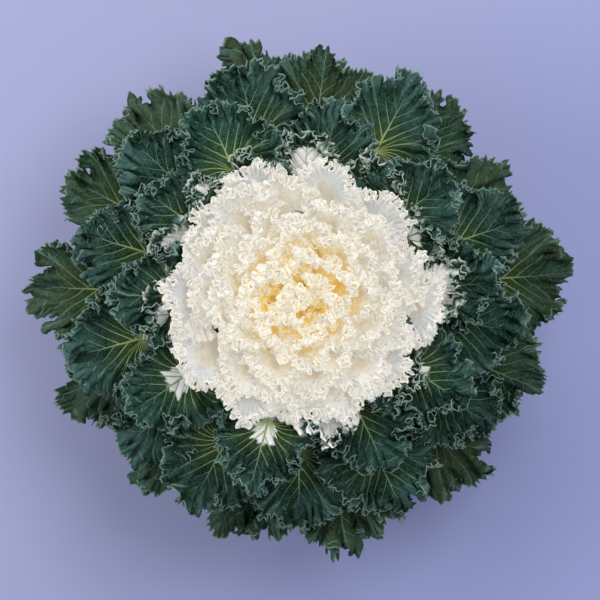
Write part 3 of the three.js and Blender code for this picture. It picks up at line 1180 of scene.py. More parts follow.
@dataclass(frozen=True)
class HeadFinish:
    """The finish of the white head's leaves, with scales, ranges and shares as above."""

    name: str = "white_head"
    white: Colour = (0.405, 0.399, 0.381)
    ivory: Colour = (0.418, 0.386, 0.309)
    yellow: Colour = (0.440, 0.310, 0.120)
    # painted warm shade on the inner part of each blade
    tan: Colour = (0.360, 0.303, 0.213)
    shade: Colour = (0.383, 0.390, 0.388)
    # painted shade of the tiny pits between the frills
    speck: Colour = (0.24, 0.185, 0.10)
    # painted shade in the heart's crevices, partly the heart's own yellow
    ochre: Colour = (0.42, 0.275, 0.045)
    # painted shade in the crevices round the heart
    buff: Colour = (0.34, 0.30, 0.225)
    # how far the painted glow of the outer leaves is dimmed
    outer_shade: Colour = (0.8, 0.8, 0.81)
    crown: float = 0.233  # height of the dome's top, in metres
    crown_fall: float = 1.98  # how much it falls, over the square of the distance
    veins: Veins = Veins(reach=40.0, midrib_width=2.6)

    # The blades. The tint says how near the heart a leaf is, from 0 at the rim to about 1.
    CLOUD_SCALE = 90.0
    CREAMY_CLOUD = (0.3, 0.75)
    CREAMY_SHARE = 0.3
    HEART_CREAM = 0.65
    FOOT = (0.15, 0.85)  # share of the way out up to which a blade is yellow
    FOOT_CLOUD = 0.2  # how far the cloud moves that
    FOOT_IVORY = 1.6
    FOOT_YELLOW = (0.3, 0.85)
    TANNED = (0.1, 0.55)  # share of the way out up to which a blade has its painted tan shade
    TANNED_CLOUD = 0.3
    TANNED_SHARE = 0.7
    VEIN_SHARE = 0.35

    # The outer leaves' painted shaded band, and the painted shade specks in the frills' tiny pits
    SHADED_HEART = (0.0, 0.25)
    SHADED_START = (0.25, 0.5)
    SHADED_END = (0.65, 0.85)
    SHADED_SHARE = 0.8
    SPECK_SCALE = 430.0
    SPECKED = (0.64, 0.74)
    SPECK_START = (0.55, 0.8)
    SPECK_SHARE = 0.8

    # The crevices, coloured with painted shade: how far below the dome they set in, in mm, and
    # where the heart ends
    PIT_SCALE = 300.0
    PIT_NOISE = 70.0
    PIT_DEPTH = (15.0, 19.0)
    HEART_EDGE = (0.0004, 0.0024)  # squares of metres
    PIT_SHARE = 0.45
    HEART_PIT_SHARE = 0.4  # what it has more in the heart

    # Painted glow, an emission in the leaves' own colour that stands in for light passing through
    # them and lifts their shade; then light scattered within them, relief and gloss
    GLOW_HEART = 1.3
    GLOW_MOST = 0.8
    GLOW = 0.88
    DEPTH = 0.005
    DEPTH_COLOURS = (1.0, 0.8, 0.5)
    DEPTH_SHARE = 0.8
    CURD_SCALE = 1000.0
    CURD_START = (0.6, 0.85)
    NET_RELIEF = 0.2
    CLOUD_RELIEF = 0.3
    VEIN_RELIEF = 0.5
    BUMP = (0.2, 0.001)
    ROUGHNESS = 0.65
    CLOUD_ROUGHNESS = 0.12
    SPECULAR = 0.1

    def _blades(self, finish: Finish, strong: Wire, cloud: Wire, heart: Wire) -> Wire:
        """Mixes the blades' colour: white, ivory towards the heart, yellow at the foot, and a
        painted warm tan shade on each blade's inner part.

        Args:
            finish: the finish.
            strong: the leaf's main veins.
            cloud: broad noise.
            heart: how near the heart the leaf is.

        Returns:
            The colour.
        """
        graph = finish.graph
        share = finish.attribute("share")
        foot = 1 - graph.ease(share + (cloud - 0.5) * self.FOOT_CLOUD, *self.FOOT)
        deep = foot * heart
        creamy = graph.ease(cloud, *self.CREAMY_CLOUD) * self.CREAMY_SHARE
        creamy = graph.maths("MINIMUM", heart * self.HEART_CREAM + creamy, 1.0)
        base = graph.blend(creamy, self.white, self.ivory)
        base = graph.blend(graph.maths("MINIMUM", deep * self.FOOT_IVORY, 1.0), base, self.ivory)
        # Painted shade: the inner part of each blade, deep under the next leaves, turns warm tan.
        inner = 1 - graph.ease(share + (cloud - 0.5) * self.TANNED_CLOUD, *self.TANNED)
        base = graph.blend(inner * self.TANNED_SHARE, base, self.tan)
        base = graph.blend(graph.ease(deep, *self.FOOT_YELLOW), base, self.yellow)
        return graph.blend(strong * (1 - heart) * self.VEIN_SHARE, base, self.white)

    def _frills(self, finish: Finish, base: Wire, heart: Wire) -> Wire:
        """Paints shade on the outer leaves below their frills, and dark specks of painted shade in
        the frills' tiny pits.

        Args:
            finish: the finish.
            base: the colour so far.
            heart: how near the heart the leaf is.

        Returns:
            The colour.
        """
        graph = finish.graph
        share = finish.attribute("share")
        low = (1 - graph.ease(heart, *self.SHADED_HEART)) * graph.ease(share, *self.SHADED_START)
        low = low * (1 - graph.ease(share, *self.SHADED_END)) * self.SHADED_SHARE
        base = graph.blend(low, base, self.shade)
        # Painted shade: dark specks stand for the shadowed pits between the frills.
        speck = graph.ease(graph.noise(finish.place(), self.SPECK_SCALE, 1.0), *self.SPECKED)
        speck = speck * graph.ease(share, *self.SPECK_START)
        return graph.blend(speck * self.SPECK_SHARE, base, self.speck)

    def _crevices(self, finish: Finish, base: Wire) -> Wire:
        """Colours what lies deep below the dome with painted shade: ochre in the heart, where the
        hidden leaves are also yellow, and buff round it.

        Args:
            finish: the finish.
            base: the colour so far.

        Returns:
            The colour.
        """
        graph = finish.graph
        place = finish.place()
        x, y, height = graph.split(place)
        off_axis = x * x + y * y
        below = (self.crown - off_axis * self.crown_fall - height) * (1 / MM)
        patch = graph.noise(place, self.PIT_SCALE, 1.0) - 0.5
        pit = graph.ease(below + patch * self.PIT_NOISE, *self.PIT_DEPTH)
        inside = 1 - graph.ease(off_axis, *self.HEART_EDGE)
        # Painted shade: deeper below the dome is darker, ochre in the heart (partly its own yellow)
        # and buff round it.
        crevice_shade = graph.blend(inside, self.buff, self.ochre)
        share = inside * self.HEART_PIT_SHARE + self.PIT_SHARE
        return graph.blend(pit * share, base, crevice_shade)

    def face(self) -> bpy.types.Material:
        """Makes the leaves' finish: white frills on ivory blades that are yellow deep down.

        Returns:
            The material.
        """
        finish = Finish(f"{self.name}_face")
        graph = finish.graph
        veins = self.veins.masks(finish)
        cloud = graph.noise(finish.place(), self.CLOUD_SCALE, 3.0)
        heart = finish.attribute("tint")
        base = self._blades(finish, veins.strong, cloud, heart)
        base = self._crevices(finish, self._frills(finish, base, heart))
        # Painted glow: the emission takes the leaves' own colour, full in the heart and dimmed
        # towards the rim.
        dimmed_glow = graph.blend(1.0, base, self.outer_shade, "MULTIPLY")
        heart_glow = graph.maths("MINIMUM", heart * self.GLOW_HEART, self.GLOW_MOST)
        curd = graph.noise(finish.place(), self.CURD_SCALE, 2.0)
        curd = curd * graph.ease(finish.attribute("share"), *self.CURD_START)
        grain = curd + veins.net * self.NET_RELIEF
        height = cloud * self.CLOUD_RELIEF + veins.strong * self.VEIN_RELIEF + grain
        return finish.close(
            {
                "Base Color": base,
                "Roughness": self.ROUGHNESS + self.CLOUD_ROUGHNESS * cloud,
                "Specular IOR Level": self.SPECULAR,
                "Subsurface Weight": self.DEPTH_SHARE,
                "Subsurface Radius": self.DEPTH_COLOURS,
                "Subsurface Scale": self.DEPTH,
                # painted glow, which stands in for light passing through the leaves
                "Emission Color": graph.blend(heart_glow, dimmed_glow, base),
                "Emission Strength": self.GLOW,
                "Normal": finish.bump(height, *self.BUMP),
            }
        )


@dataclass(frozen=True)
class PotFinish:
    """Terracotta-coloured moulded plastic, matt, with faint turning lines and dust."""

    name: str = "pot_plastic"
    clay: Colour = (0.40, 0.125, 0.055)
    dusty: Colour = (0.50, 0.24, 0.15)

    CLOUD_SCALE = 22.0
    GRAIN_SCALE = 900.0
    LINE_PACE = 2600.0  # radians to a metre of height
    DUST_CLOUD = (0.35, 0.8)
    DUST_SHARE = 0.45
    DUST_HEIGHT = (0.002, 0.035)
    DUST_EDGE = 0.02
    FOOT_SHARE = 0.35
    GRAIN_RELIEF = 0.6
    LINE_RELIEF = 0.12
    BUMP = (0.3, 0.0006)
    ROUGHNESS = 0.5
    CLOUD_ROUGHNESS = 0.2

    def material(self) -> bpy.types.Material:
        """Makes the pot's material.

        Returns:
            The material.
        """
        finish = Finish(self.name)
        graph = finish.graph
        place = finish.place()
        cloud = graph.noise(place, self.CLOUD_SCALE, 4.0)
        grain = graph.noise(place, self.GRAIN_SCALE, 2.0)
        _, _, height = graph.split(place)
        lines = graph.maths("SINE", height * self.LINE_PACE)
        low = 1 - graph.ease(height + (cloud - 0.5) * self.DUST_EDGE, *self.DUST_HEIGHT)
        dust = graph.ease(cloud, *self.DUST_CLOUD) * self.DUST_SHARE
        base = graph.blend(dust, self.clay, self.dusty)
        base = graph.blend(low * self.FOOT_SHARE, base, self.dusty)
        relief = grain * self.GRAIN_RELIEF + lines * self.LINE_RELIEF
        return finish.close(
            {
                "Base Color": base,
                "Roughness": self.ROUGHNESS + self.CLOUD_ROUGHNESS * cloud,
                "Normal": finish.bump(relief, *self.BUMP),
            }
        )


@dataclass(frozen=True)
class MixFinish:
    """Moist peat and bark, dark brown."""

    name: str = "potting_mix"
    peat: Colour = (0.026, 0.015, 0.009)
    bark: Colour = (0.085, 0.046, 0.024)

    CRUMB_SCALE = 260.0
    PATCH_SCALE = 60.0
    PATCH_SHARE = 0.4
    BARKY = (0.55, 0.95)
    BUMP = (0.9, 0.003)
    ROUGHNESS = 0.8
    CRUMB_ROUGHNESS = 0.15

    def material(self) -> bpy.types.Material:
        """Makes the mix's material.

        Returns:
            The material.
        """
        finish = Finish(self.name)
        graph = finish.graph
        place = finish.place()
        crumb = graph.noise(place, self.CRUMB_SCALE, 6.0)
        patch = graph.noise(place, self.PATCH_SCALE, 3.0)
        barky = graph.ease(crumb + patch * self.PATCH_SHARE, *self.BARKY)
        return finish.close(
            {
                "Base Color": graph.blend(barky, self.peat, self.bark),
                "Roughness": self.ROUGHNESS + self.CRUMB_ROUGHNESS * crumb,
                "Normal": finish.bump(crumb + patch, *self.BUMP),
            }
        )


@dataclass(frozen=True)
class StemFinish:
    """A pale green stalk, corky and brown in its scars and near the mix."""

    name: str = "stem_rind"
    green: Colour = (0.30, 0.36, 0.16)
    corky: Colour = (0.30, 0.21, 0.11)
    pith: Colour = (0.60, 0.55, 0.36)

    STREAK_SCALE = 320.0
    STREAK_STRETCH = (1.0, 1.0, 0.25)
    STREAK_SHARE = 0.5
    CLOUD_SCALE = 90.0
    CLOUD_REACH = 0.02  # how far the cloud moves the colours' ends, in metres
    CORKY_HEIGHT = (0.112, 0.135)
    CORKY_SHARE = 0.8
    PITH_HEIGHT = (0.15, 0.17)
    CLOUD_RELIEF = 0.5
    BUMP = (0.6, 0.0012)
    ROUGHNESS = 0.6
    CLOUD_ROUGHNESS = 0.2

    def material(self) -> bpy.types.Material:
        """Makes the stem's material.

        Returns:
            The material.
        """
        finish = Finish(self.name)
        graph = finish.graph
        place = finish.place()
        stretched = graph.vector("MULTIPLY", place, self.STREAK_STRETCH)
        streak = graph.noise(stretched, self.STREAK_SCALE, 4.0)
        cloud = graph.noise(place, self.CLOUD_SCALE, 3.0)
        _, _, height = graph.split(place)
        height = height + (cloud - 0.5) * self.CLOUD_REACH
        low = (1 - graph.ease(height, *self.CORKY_HEIGHT)) * self.CORKY_SHARE
        base = graph.blend(streak * self.STREAK_SHARE, self.green, self.corky)
        brown = graph.maths("MAXIMUM", low, finish.attribute("scar"))
        base = graph.blend(brown, base, self.corky)
        base = graph.blend(graph.ease(height, *self.PITH_HEIGHT), base, self.pith)
        return finish.close(
            {
                "Base Color": base,
                "Roughness": self.ROUGHNESS + self.CLOUD_ROUGHNESS * cloud,
                "Normal": finish.bump(streak + cloud * self.CLOUD_RELIEF, *self.BUMP),
            }
        )


@dataclass(frozen=True)
class FloorFinish:
    """A plain, pale lavender painted board, with painted shade: a little darker and bluer towards
    the lower right, where the light falls off.
    """

    name: str = "studio_board"
    paint: Colour = (0.266, 0.288, 0.484)
    # painted shade: the board's paint as it looks where the light falls off
    far_paint: Colour = (0.242, 0.279, 0.530)
    dust: Colour = (0.5, 0.52, 0.72)

    ACROSS = (0.87, -0.5, 0.0)  # the way in which the paint turns to the painted shade where the light falls off
    CHANGE = (-0.12, 0.22)  # distance that way from the pot, in metres
    GRAIN_SCALE = 700.0
    DUST_SHARE = 0.05
    BUMP = (0.1, 0.0005)
    ROUGHNESS = 0.85

    def material(self) -> bpy.types.Material:
        """Makes the board's material.

        Returns:
            The material.
        """
        finish = Finish(self.name)
        graph = finish.graph
        place = finish.place()
        grain = graph.noise(place, self.GRAIN_SCALE, 3.0)
        across = graph.vector("DOT_PRODUCT", place, self.ACROSS, output="Value")
        # Painted shade: the paint turns darker and bluer towards the lower right.
        base = graph.blend(graph.ease(across, *self.CHANGE), self.paint, self.far_paint)
        base = graph.blend(grain * self.DUST_SHARE, base, self.dust)
        return finish.close(
            {
                "Base Color": base,
                "Roughness": self.ROUGHNESS,
                "Normal": finish.bump(grain, *self.BUMP),
            }
        )


# ---- Pieces ----


class Workshop:
    """Turns sheets, profiles and node trees into plain pieces of the object."""

    def __init__(self) -> None:
        """Builds what the leaves share."""
        self.margin = CurlyMargin()

    @staticmethod
    def to_object(name: str, mesh: bpy.types.Mesh) -> bpy.types.Object:
        """Puts a mesh in the scene.

        Args:
            name: the object's name.
            mesh: its mesh.

        Returns:
            The object.
        """
        piece = bpy.data.objects.new(name, mesh)
        bpy.context.scene.collection.objects.link(piece)
        return piece

    def sheet_object(self, name: str, sheet: Sheet) -> bpy.types.Object:
        """Makes an object of a leaf sheet, with its attributes.

        Args:
            name: the object's name.
            sheet: the sheet.

        Returns:
            The object.
        """
        mesh = bpy.data.meshes.new(name)
        mesh.from_pydata(sheet.points.tolist(), [], sheet.triangles.tolist())
        for attribute in Sheet.FLOATS:
            layer = mesh.attributes.new(attribute, "FLOAT", "POINT")
            layer.data.foreach_set("value", getattr(sheet, attribute).astype(np.float32))
        layer = mesh.attributes.new("outward", "FLOAT_VECTOR", "POINT")
        layer.data.foreach_set("vector", sheet.outward.astype(np.float32).ravel())
        corners = sheet.blade[sheet.triangles.ravel()]
        mesh.uv_layers.new(name="blade").data.foreach_set("uv", corners.astype(np.float32).ravel())
        mesh.polygons.foreach_set("use_smooth", np.ones(len(mesh.polygons), dtype=bool))
        piece = self.to_object(name, mesh)
        group = piece.vertex_groups.new(name="thickness")
        weights = np.round(sheet.thickness / sheet.thickness.max(), 2)
        for weight in np.unique(weights):
            group.add(np.flatnonzero(weights == weight).tolist(), float(weight), "REPLACE")
        return piece

    def curl(
        self,
        piece: bpy.types.Object,
        sheet: Sheet,
        curl: Curl,
        finishes: tuple[bpy.types.Material, bpy.types.Material, bpy.types.Material],
    ) -> None:
        """Fits a leaf with its curly margin and its thickness.

        Args:
            piece: the leaf's object.
            sheet: the sheet that it was made of.
            curl: how curly it is.
            finishes: the materials of its face, underside and margin.
        """
        for finish in finishes:
            piece.data.materials.append(finish)
        self.margin.fit(piece, curl, finishes[0])
        wall = piece.modifiers.new("wall", "SOLIDIFY")
        wall.thickness = float(sheet.thickness.max())
        wall.offset = 0.0
        wall.vertex_group = "thickness"
        wall.material_offset = 1
        wall.material_offset_rim = 2

    @staticmethod
    def settle(pieces: list[bpy.types.Object]) -> None:
        """Turns pieces with modifiers into plain meshes.

        Args:
            pieces: the pieces, whose modifiers are removed.
        """
        graph = bpy.context.evaluated_depsgraph_get()
        for piece in pieces:
            evaluated = piece.evaluated_get(graph)
            mesh = bpy.data.meshes.new_from_object(
                evaluated, preserve_all_data_layers=True, depsgraph=graph
            )
            mesh.name = piece.name
            piece["settled"] = mesh.name
        for piece in pieces:
            piece.modifiers.clear()
            piece.vertex_groups.clear()
            piece.data = bpy.data.meshes[piece["settled"]]
            del piece["settled"]

    @staticmethod
    def hand_over(piece: bpy.types.Object, nodes: list[str], slot: str) -> None:
        """Attaches a finished piece to the body, hides the solids that it stands for and logs its
        triangles.

        Args:
            piece: the finished piece.
            nodes: the solids' names.
            slot: not used.
        """
        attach(piece, BODY)
        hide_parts(*nodes)
        triangles = sum(len(face.vertices) - 2 for face in piece.data.polygons)
        LOG.info("%s: %d triangles", piece.name, triangles)

    def lathe(
        self, name: str, profile: list[Point], sides: int, smooth: bool = True
    ) -> bpy.types.Object:
        """Turns a profile about the upright axis.

        Args:
            name: the object's name.
            profile: radius and height in mm, up the outside; 0 radius is the axis.
            sides: how many facets go round.
            smooth: whether its faces are shaded smooth.

        Returns:
            The object.
        """
        points: list[tuple[float, float, float]] = []
        rows: list[list[int]] = []
        for radius, height in profile:
            start = len(points)
            if radius == 0:
                points.append((0.0, 0.0, height * MM))
                rows.append([start] * sides)
                continue
            for angle in np.linspace(0.0, CIRCLE, sides, endpoint=False):
                x, y = radius * math.cos(angle), radius * math.sin(angle)
                points.append((x * MM, y * MM, height * MM))
            rows.append(list(range(start, start + sides)))
        faces = []
        for low, high in zip(rows, rows[1:]):
            for i in range(sides):
                j = (i + 1) % sides
                corners = [low[i], low[j], high[j], high[i]]
                faces.append(list(dict.fromkeys(corners)))
        mesh = bpy.data.meshes.new(name)
        mesh.from_pydata(points, [], faces)
        mesh.polygons.foreach_set("use_smooth", np.full(len(mesh.polygons), smooth, dtype=bool))
        return self.to_object(name, mesh)


@dataclass
class Pot:
    """The nursery pot, in mm: a tapered wall, a rolled rim, a foot groove and drain holes."""

    height: float = 125.0
    base_radius: float = 54.0
    top_radius: float = 73.0
    wall: float = 1.8
    floor: float = 3.2
    rim_height: float = 14.0
    rim_out: float = 3.2
    groove_depth: float = 1.5
    groove_half: float = 6.0
    hole_radius: float = 5.0
    hole_circle: float = 34.0
    holes: int = 5
    sides: int = 120
    corner: float = 0.8

    # Points of the mouldings: how far out, then how far up
    GROOVE_LIP = ((2.0, 0.0), (1.6, 0.15))  # from the foot
    GROOVE_BED = ((0.2, -0.1), (-0.4, 0.0))  # from the groove's depth
    FOOT_CORNER = 0.3  # share of the corner that the foot's middle point is cut off by
    BEAD = (
        (8.0, 0.0, 8.0), (8.6, 0.5, 8.8), (9.6, 0.5, 9.6), (10.4, 0.0, 10.2),
    )  # the height of the wall's radius, how far out from it, and the point's own height
    STRAIGHT_END = 6.0  # how far below the rim the wall is straight
    RIM_COVE = ((-0.1, -0.6), (0.4, 0.0))  # from the rim's start
    RIM_LIFT = 0.2
    RIM_LINE = ((-0.3, -4.0), (0.0, -3.2))  # from the rim's top edge
    FILLET = 1.0  # between the floor and the wall
    DRILL = (-5.0, 10.0)  # heights between which the holes are cut
    DRILL_SIDES = 28

    def outer(self, z: float) -> float:
        """Gives the wall's outer radius at a height."""
        return between(self.base_radius, self.top_radius, z / self.height)

    def inner(self, z: float) -> float:
        """Gives the wall's inner radius at a height."""
        return self.outer(z) - self.wall

    def _foot(self) -> list[Point]:
        """Lists the underside, with the groove that the drain holes lie in.

        Returns:
            Radius and height of each point, from the middle out.
        """
        inside = self.hole_circle - self.groove_half
        outside = self.hole_circle + self.groove_half
        slope = [*self.GROOVE_LIP, *((out, self.groove_depth + up) for out, up in self.GROOVE_BED)]
        cut = self.corner * self.FOOT_CORNER
        return [
            (0.0, 0.0),
            *((inside - out, up) for out, up in slope),
            *((outside + out, up) for out, up in reversed(slope)),
            (self.base_radius - self.corner, 0.0),
            (self.base_radius - cut, cut),
            (self.base_radius, self.corner),
        ]

    def _rim(self, start: float) -> list[Point]:
        """Lists the rolled rim.

        Args:
            start: the height of its underside.

        Returns:
            Radius and height of each point, from below it to the wall's inside.
        """
        wall, lip, c = self.outer(start), self.top_radius + self.rim_out, self.corner
        throat = self.inner(self.height)
        return [
            *((wall + out, start + up) for out, up in self.RIM_COVE),
            (wall + self.rim_out - c, start + self.RIM_LIFT),
            (wall + self.rim_out, start + c + self.RIM_LIFT),
            *((lip + out, self.height + up) for out, up in self.RIM_LINE),
            (lip, self.height - c),
            (lip - c, self.height),
            (throat + c, self.height),
            (throat, self.height - c),
        ]

    def profile(self) -> list[Point]:
        """Lists the pot's section from the middle of its underside round to its floor.

        Returns:
            Radius and height of each point.
        """
        rim_start = self.height - self.rim_height
        straight_end = rim_start - self.STRAIGHT_END
        floor_edge = self.floor + self.FILLET
        return [
            *self._foot(),
            *((self.outer(on) + out, up) for on, out, up in self.BEAD),
            (self.outer(straight_end), straight_end),
            *self._rim(rim_start),
            (self.inner(rim_start), rim_start),
            (self.inner(floor_edge), floor_edge),
            (self.inner(self.floor) - self.FILLET, self.floor),
            (0.0, self.floor),
        ]

    def build(self, workshop: Workshop) -> None:
        """Makes the pot.

        Args:
            workshop: what makes its meshes.
        """
        piece = workshop.lathe("nursery_pot", self.profile(), self.sides)
        low, high = self.DRILL
        core = [(0.0, low), (self.hole_radius, low), (self.hole_radius, high), (0.0, high)]
        drills = []
        for i in range(self.holes):
            turn = CIRCLE * i / self.holes
            drill = workshop.lathe(f"drill_{i}", core, self.DRILL_SIDES, smooth=False)
            offset = Vector((math.cos(turn), math.sin(turn), 0)) * self.hole_circle * MM
            drill.data.transform(Matrix.Translation(offset))
            cut = piece.modifiers.new(f"hole_{i}", "BOOLEAN")
            cut.operation = "DIFFERENCE"
            cut.solver = "EXACT"
            cut.object = drill
            drills.append(drill)
        workshop.settle([piece])
        for drill in drills:
            bpy.data.objects.remove(drill)
        piece.data.materials.clear()
        piece.data.materials.append(PotFinish().material())
        workshop.hand_over(piece, ["pot"], "pot")


@dataclass
class PottingMix:
    """The mix in the pot, in mm: a low crown with a lumpy, crumbly surface."""

    depth_below_rim: float = 13.0
    crown: float = 2.5
    lumps: float = 1.4
    crumbs: float = 0.5
    stem_hole_depth: float = 45.0
    gap: float = 0.3
    chamfer: float = 1.0
    bevel: float = 0.4
    even_edge: float = 0.5  # width of the smooth band by the pot and by the stem
    sides: int = 96
    rings: int = 20

    LUMP_PACE = (0.31, 0.27)  # radians to a mm, along x and y
    CRUMB_PACE = (1.9, 2.3)
    CRUMB_BEND = (1.3, 2.0)  # pace and size of the bend in the rows of crumbs

    def _lift(self, x: float, y: float) -> float:
        """Gives how far the lumps and crumbs lift the surface.

        Args:
            x: the place across, in mm.
            y: the place along, in mm.

        Returns:
            The lift in mm.
        """
        lump = math.sin(x * self.LUMP_PACE[0]) * math.cos(y * self.LUMP_PACE[1]) * self.lumps
        bend = math.sin(y * self.CRUMB_BEND[0]) * self.CRUMB_BEND[1]
        crumb = math.sin(x * self.CRUMB_PACE[0] + bend)
        return lump + crumb * math.cos(y * self.CRUMB_PACE[1] + math.sin(x)) * self.crumbs

    def build(self, workshop: Workshop, pot: Pot, stem_radius: float) -> None:
        """Makes the mix.

        Args:
            workshop: what makes its meshes.
            pot: the pot that it fills.
            stem_radius: the stem's radius.
        """
        top = pot.height - self.depth_below_rim
        edge = pot.inner(top) - self.gap
        hole = stem_radius + self.gap
        low = pot.floor + self.gap
        foot = pot.inner(low + self.chamfer) - self.gap - self.chamfer
        profile = [(0.0, low), (foot, low), (edge, top - self.chamfer)]
        for ring in range(self.rings + 1):
            radius = between(edge - self.bevel, hole, ring / self.rings)
            profile.append((radius, top + self.crown * (1 - radius / edge)))
        profile += [(hole, top - self.stem_hole_depth), (0.0, top - self.stem_hole_depth)]
        piece = workshop.lathe("potting_mix_bed", profile, self.sides)
        for vertex in piece.data.vertices:
            x, y, z = (value / MM for value in vertex.co)
            between_edges = hole + self.even_edge <= math.hypot(x, y) <= edge - self.even_edge
            if between_edges and z >= top - self.even_edge:
                vertex.co.z += self._lift(x, y) * MM
        piece.data.materials.append(MixFinish().material())
        workshop.hand_over(piece, ["potting_mix"], "potting_mix")


@dataclass
class Stem:
    """The stout bare stalk between the mix and the head, in mm."""

    radius: float = 14.0
    foot_radius: float = 12.0
    bottom: float = 67.3
    top: float = 175.7
    sides: int = 48
    step: float = 2.0
    scar_places: Pair = (0.25, 0.75)  # shares of the bare stretch
    scar_depth: float = 0.8
    scar_width: float = 1.1
    stain_width: float = 1.6
    clear: float = 4.0  # what the bare stretch leaves by the mix and the first whorl

    @staticmethod
    def _near(z: float, scars: list[float], width: float) -> float:
        """Gives 1 at the height of a scar, and 0 more than a few widths away from all."""
        return sum(math.exp(-(((z - scar) / width) ** 2)) for scar in scars)

    def build(self, workshop: Workshop, mix_top: float, first_leaf: float) -> None:
        """Makes the stem.

        Args:
            workshop: what makes its mesh.
            mix_top: height of the mix.
            first_leaf: height of the first whorl.
        """
        low, high = mix_top + self.clear, first_leaf - self.clear
        scars = [between(low, high, share) for share in self.scar_places]
        profile = [(0.0, self.bottom)]
        for z in np.arange(self.bottom, self.top, self.step):
            grown = min(1.0, (z - self.bottom) / (mix_top - self.clear - self.bottom))
            radius = between(self.foot_radius, self.radius, grown)
            dip = self.scar_depth * self._near(z, scars, self.scar_width)
            profile.append((radius - dip, float(z)))
        profile += [(self.radius, self.top), (0.0, self.top)]
        piece = workshop.lathe("kale_stem", profile, self.sides)
        heights = [vertex.co.z / MM for vertex in piece.data.vertices]
        stains = [min(1.0, self._near(z, scars, self.stain_width)) for z in heights]
        layer = piece.data.attributes.new("scar", "FLOAT", "POINT")
        layer.data.foreach_set("value", stains)
        piece.data.materials.append(StemFinish().material())
        workshop.hand_over(piece, ["stem"], "stem")


class Tier(Enum):
    """The whorls of green leaves, from the ground up."""

    LOWER = "lower"
    MIDDLE = "middle"
    UPPER = "upper"


@dataclass(frozen=True)
class Levels:
    """How the green leaves' nested levels leave the stem and droop, in mm."""

    stem_radius: float = 14.3
    first_height: float = 127.0
    root_step: float = 8.0
    slope: float = 0.55
    slope_step: float = 0.025
    droop: float = 40.0
    droop_step: float = -1.0

    def spine(self, level: int, reach: float) -> Spine:
        """Gives the spine of a leaf on a level.

        Args:
            level: the level, 0 the lowest.
            reach: how far the tip is from the axis.

        Returns:
            The spine.
        """
        run = reach - self.stem_radius
        root = self.first_height + self.root_step * level
        rise = (self.slope + self.slope_step * level) * run
        droop = (self.droop + self.droop_step * level) * (run / 100) ** 2
        return Spine(
            (self.stem_radius, root),
            (self.stem_radius + run / 2, root + rise / 2),
            (reach, root + rise - droop),
        )


GREEN_RINGS = RingPlan(
    margin=448,
    rings=(
        (0.10, 16), (0.22, 16), (0.34, 8), (0.46, 8), (0.56, 4), (0.65, 4), (0.72, 4), (0.78, 2),
        (0.83, 2), (0.875, 2), (0.915, 1), (0.96, 1), (1.0, 1),
    ),
)
HEAD_RINGS = RingPlan(
    margin=384,
    rings=(
        (0.18, 16), (0.34, 8), (0.48, 4), (0.60, 4), (0.70, 2), (0.78, 2), (0.84, 2), (0.88, 1),
        (0.92, 1), (0.96, 1), (1.0, 1),
    ),
    stalk_rows=2,
    stalk_facets=6,
)


@dataclass
class Whorl:
    """One whorl of green leaves: where each points and how far it reaches."""

    tier: Tier
    first_level: int
    blade_length: float
    blade_width: float
    leaves: tuple[tuple[float, float], ...]  # azimuth in degrees, and reach
    finish: LeafFinish
    curl: Curl
    levels: Levels = Levels()
    variety: float = 0.12
    form: LeafForm = LeafForm(lobes=5.6, lobe_depth=0.08)
    plan: RingPlan = GREEN_RINGS
    whitened: dict[int, float] = field(default_factory=dict)  # tint by the leaf's number

    def leaf(self, i: int) -> Leaf:
        """Plans one leaf.

        Args:
            i: its number in the whorl, from 0.

        Returns:
            The leaf.
        """
        rank = list(Tier).index(self.tier)
        azimuth, reach = self.leaves[i]
        size = 1 + self.variety * swing(i, Purpose.GREEN_SIZE + rank)
        return Leaf(
            azimuth=math.radians(azimuth),
            spine=self.levels.spine(self.first_level + i % 2, reach),
            length=self.blade_length * size,
            width=self.blade_width * size,
            form=self.form,
            plan=self.plan,
            odd=draw(i, Purpose.GREEN_ODD + rank),
            tint=self.whitened.get(i, 0.0),
        )

    def build(self, workshop: Workshop) -> None:
        """Makes the whorl's leaves, each a piece of its own.

        Args:
            workshop: what makes the meshes.
        """
        finishes = (self.finish.face(), self.finish.back(), self.finish.rim())
        pieces = []
        for i in range(len(self.leaves)):
            sheet = self.leaf(i).sheet()
            piece = workshop.sheet_object(f"curly_{self.tier.value}_leaf_{i + 1:02d}", sheet)
            workshop.curl(piece, sheet, self.curl, finishes)
            pieces.append(piece)
        workshop.settle(pieces)
        for piece in pieces:
            node = piece.name.removeprefix("curly_")
            workshop.hand_over(piece, [node], f"leaf_{self.tier.value}")


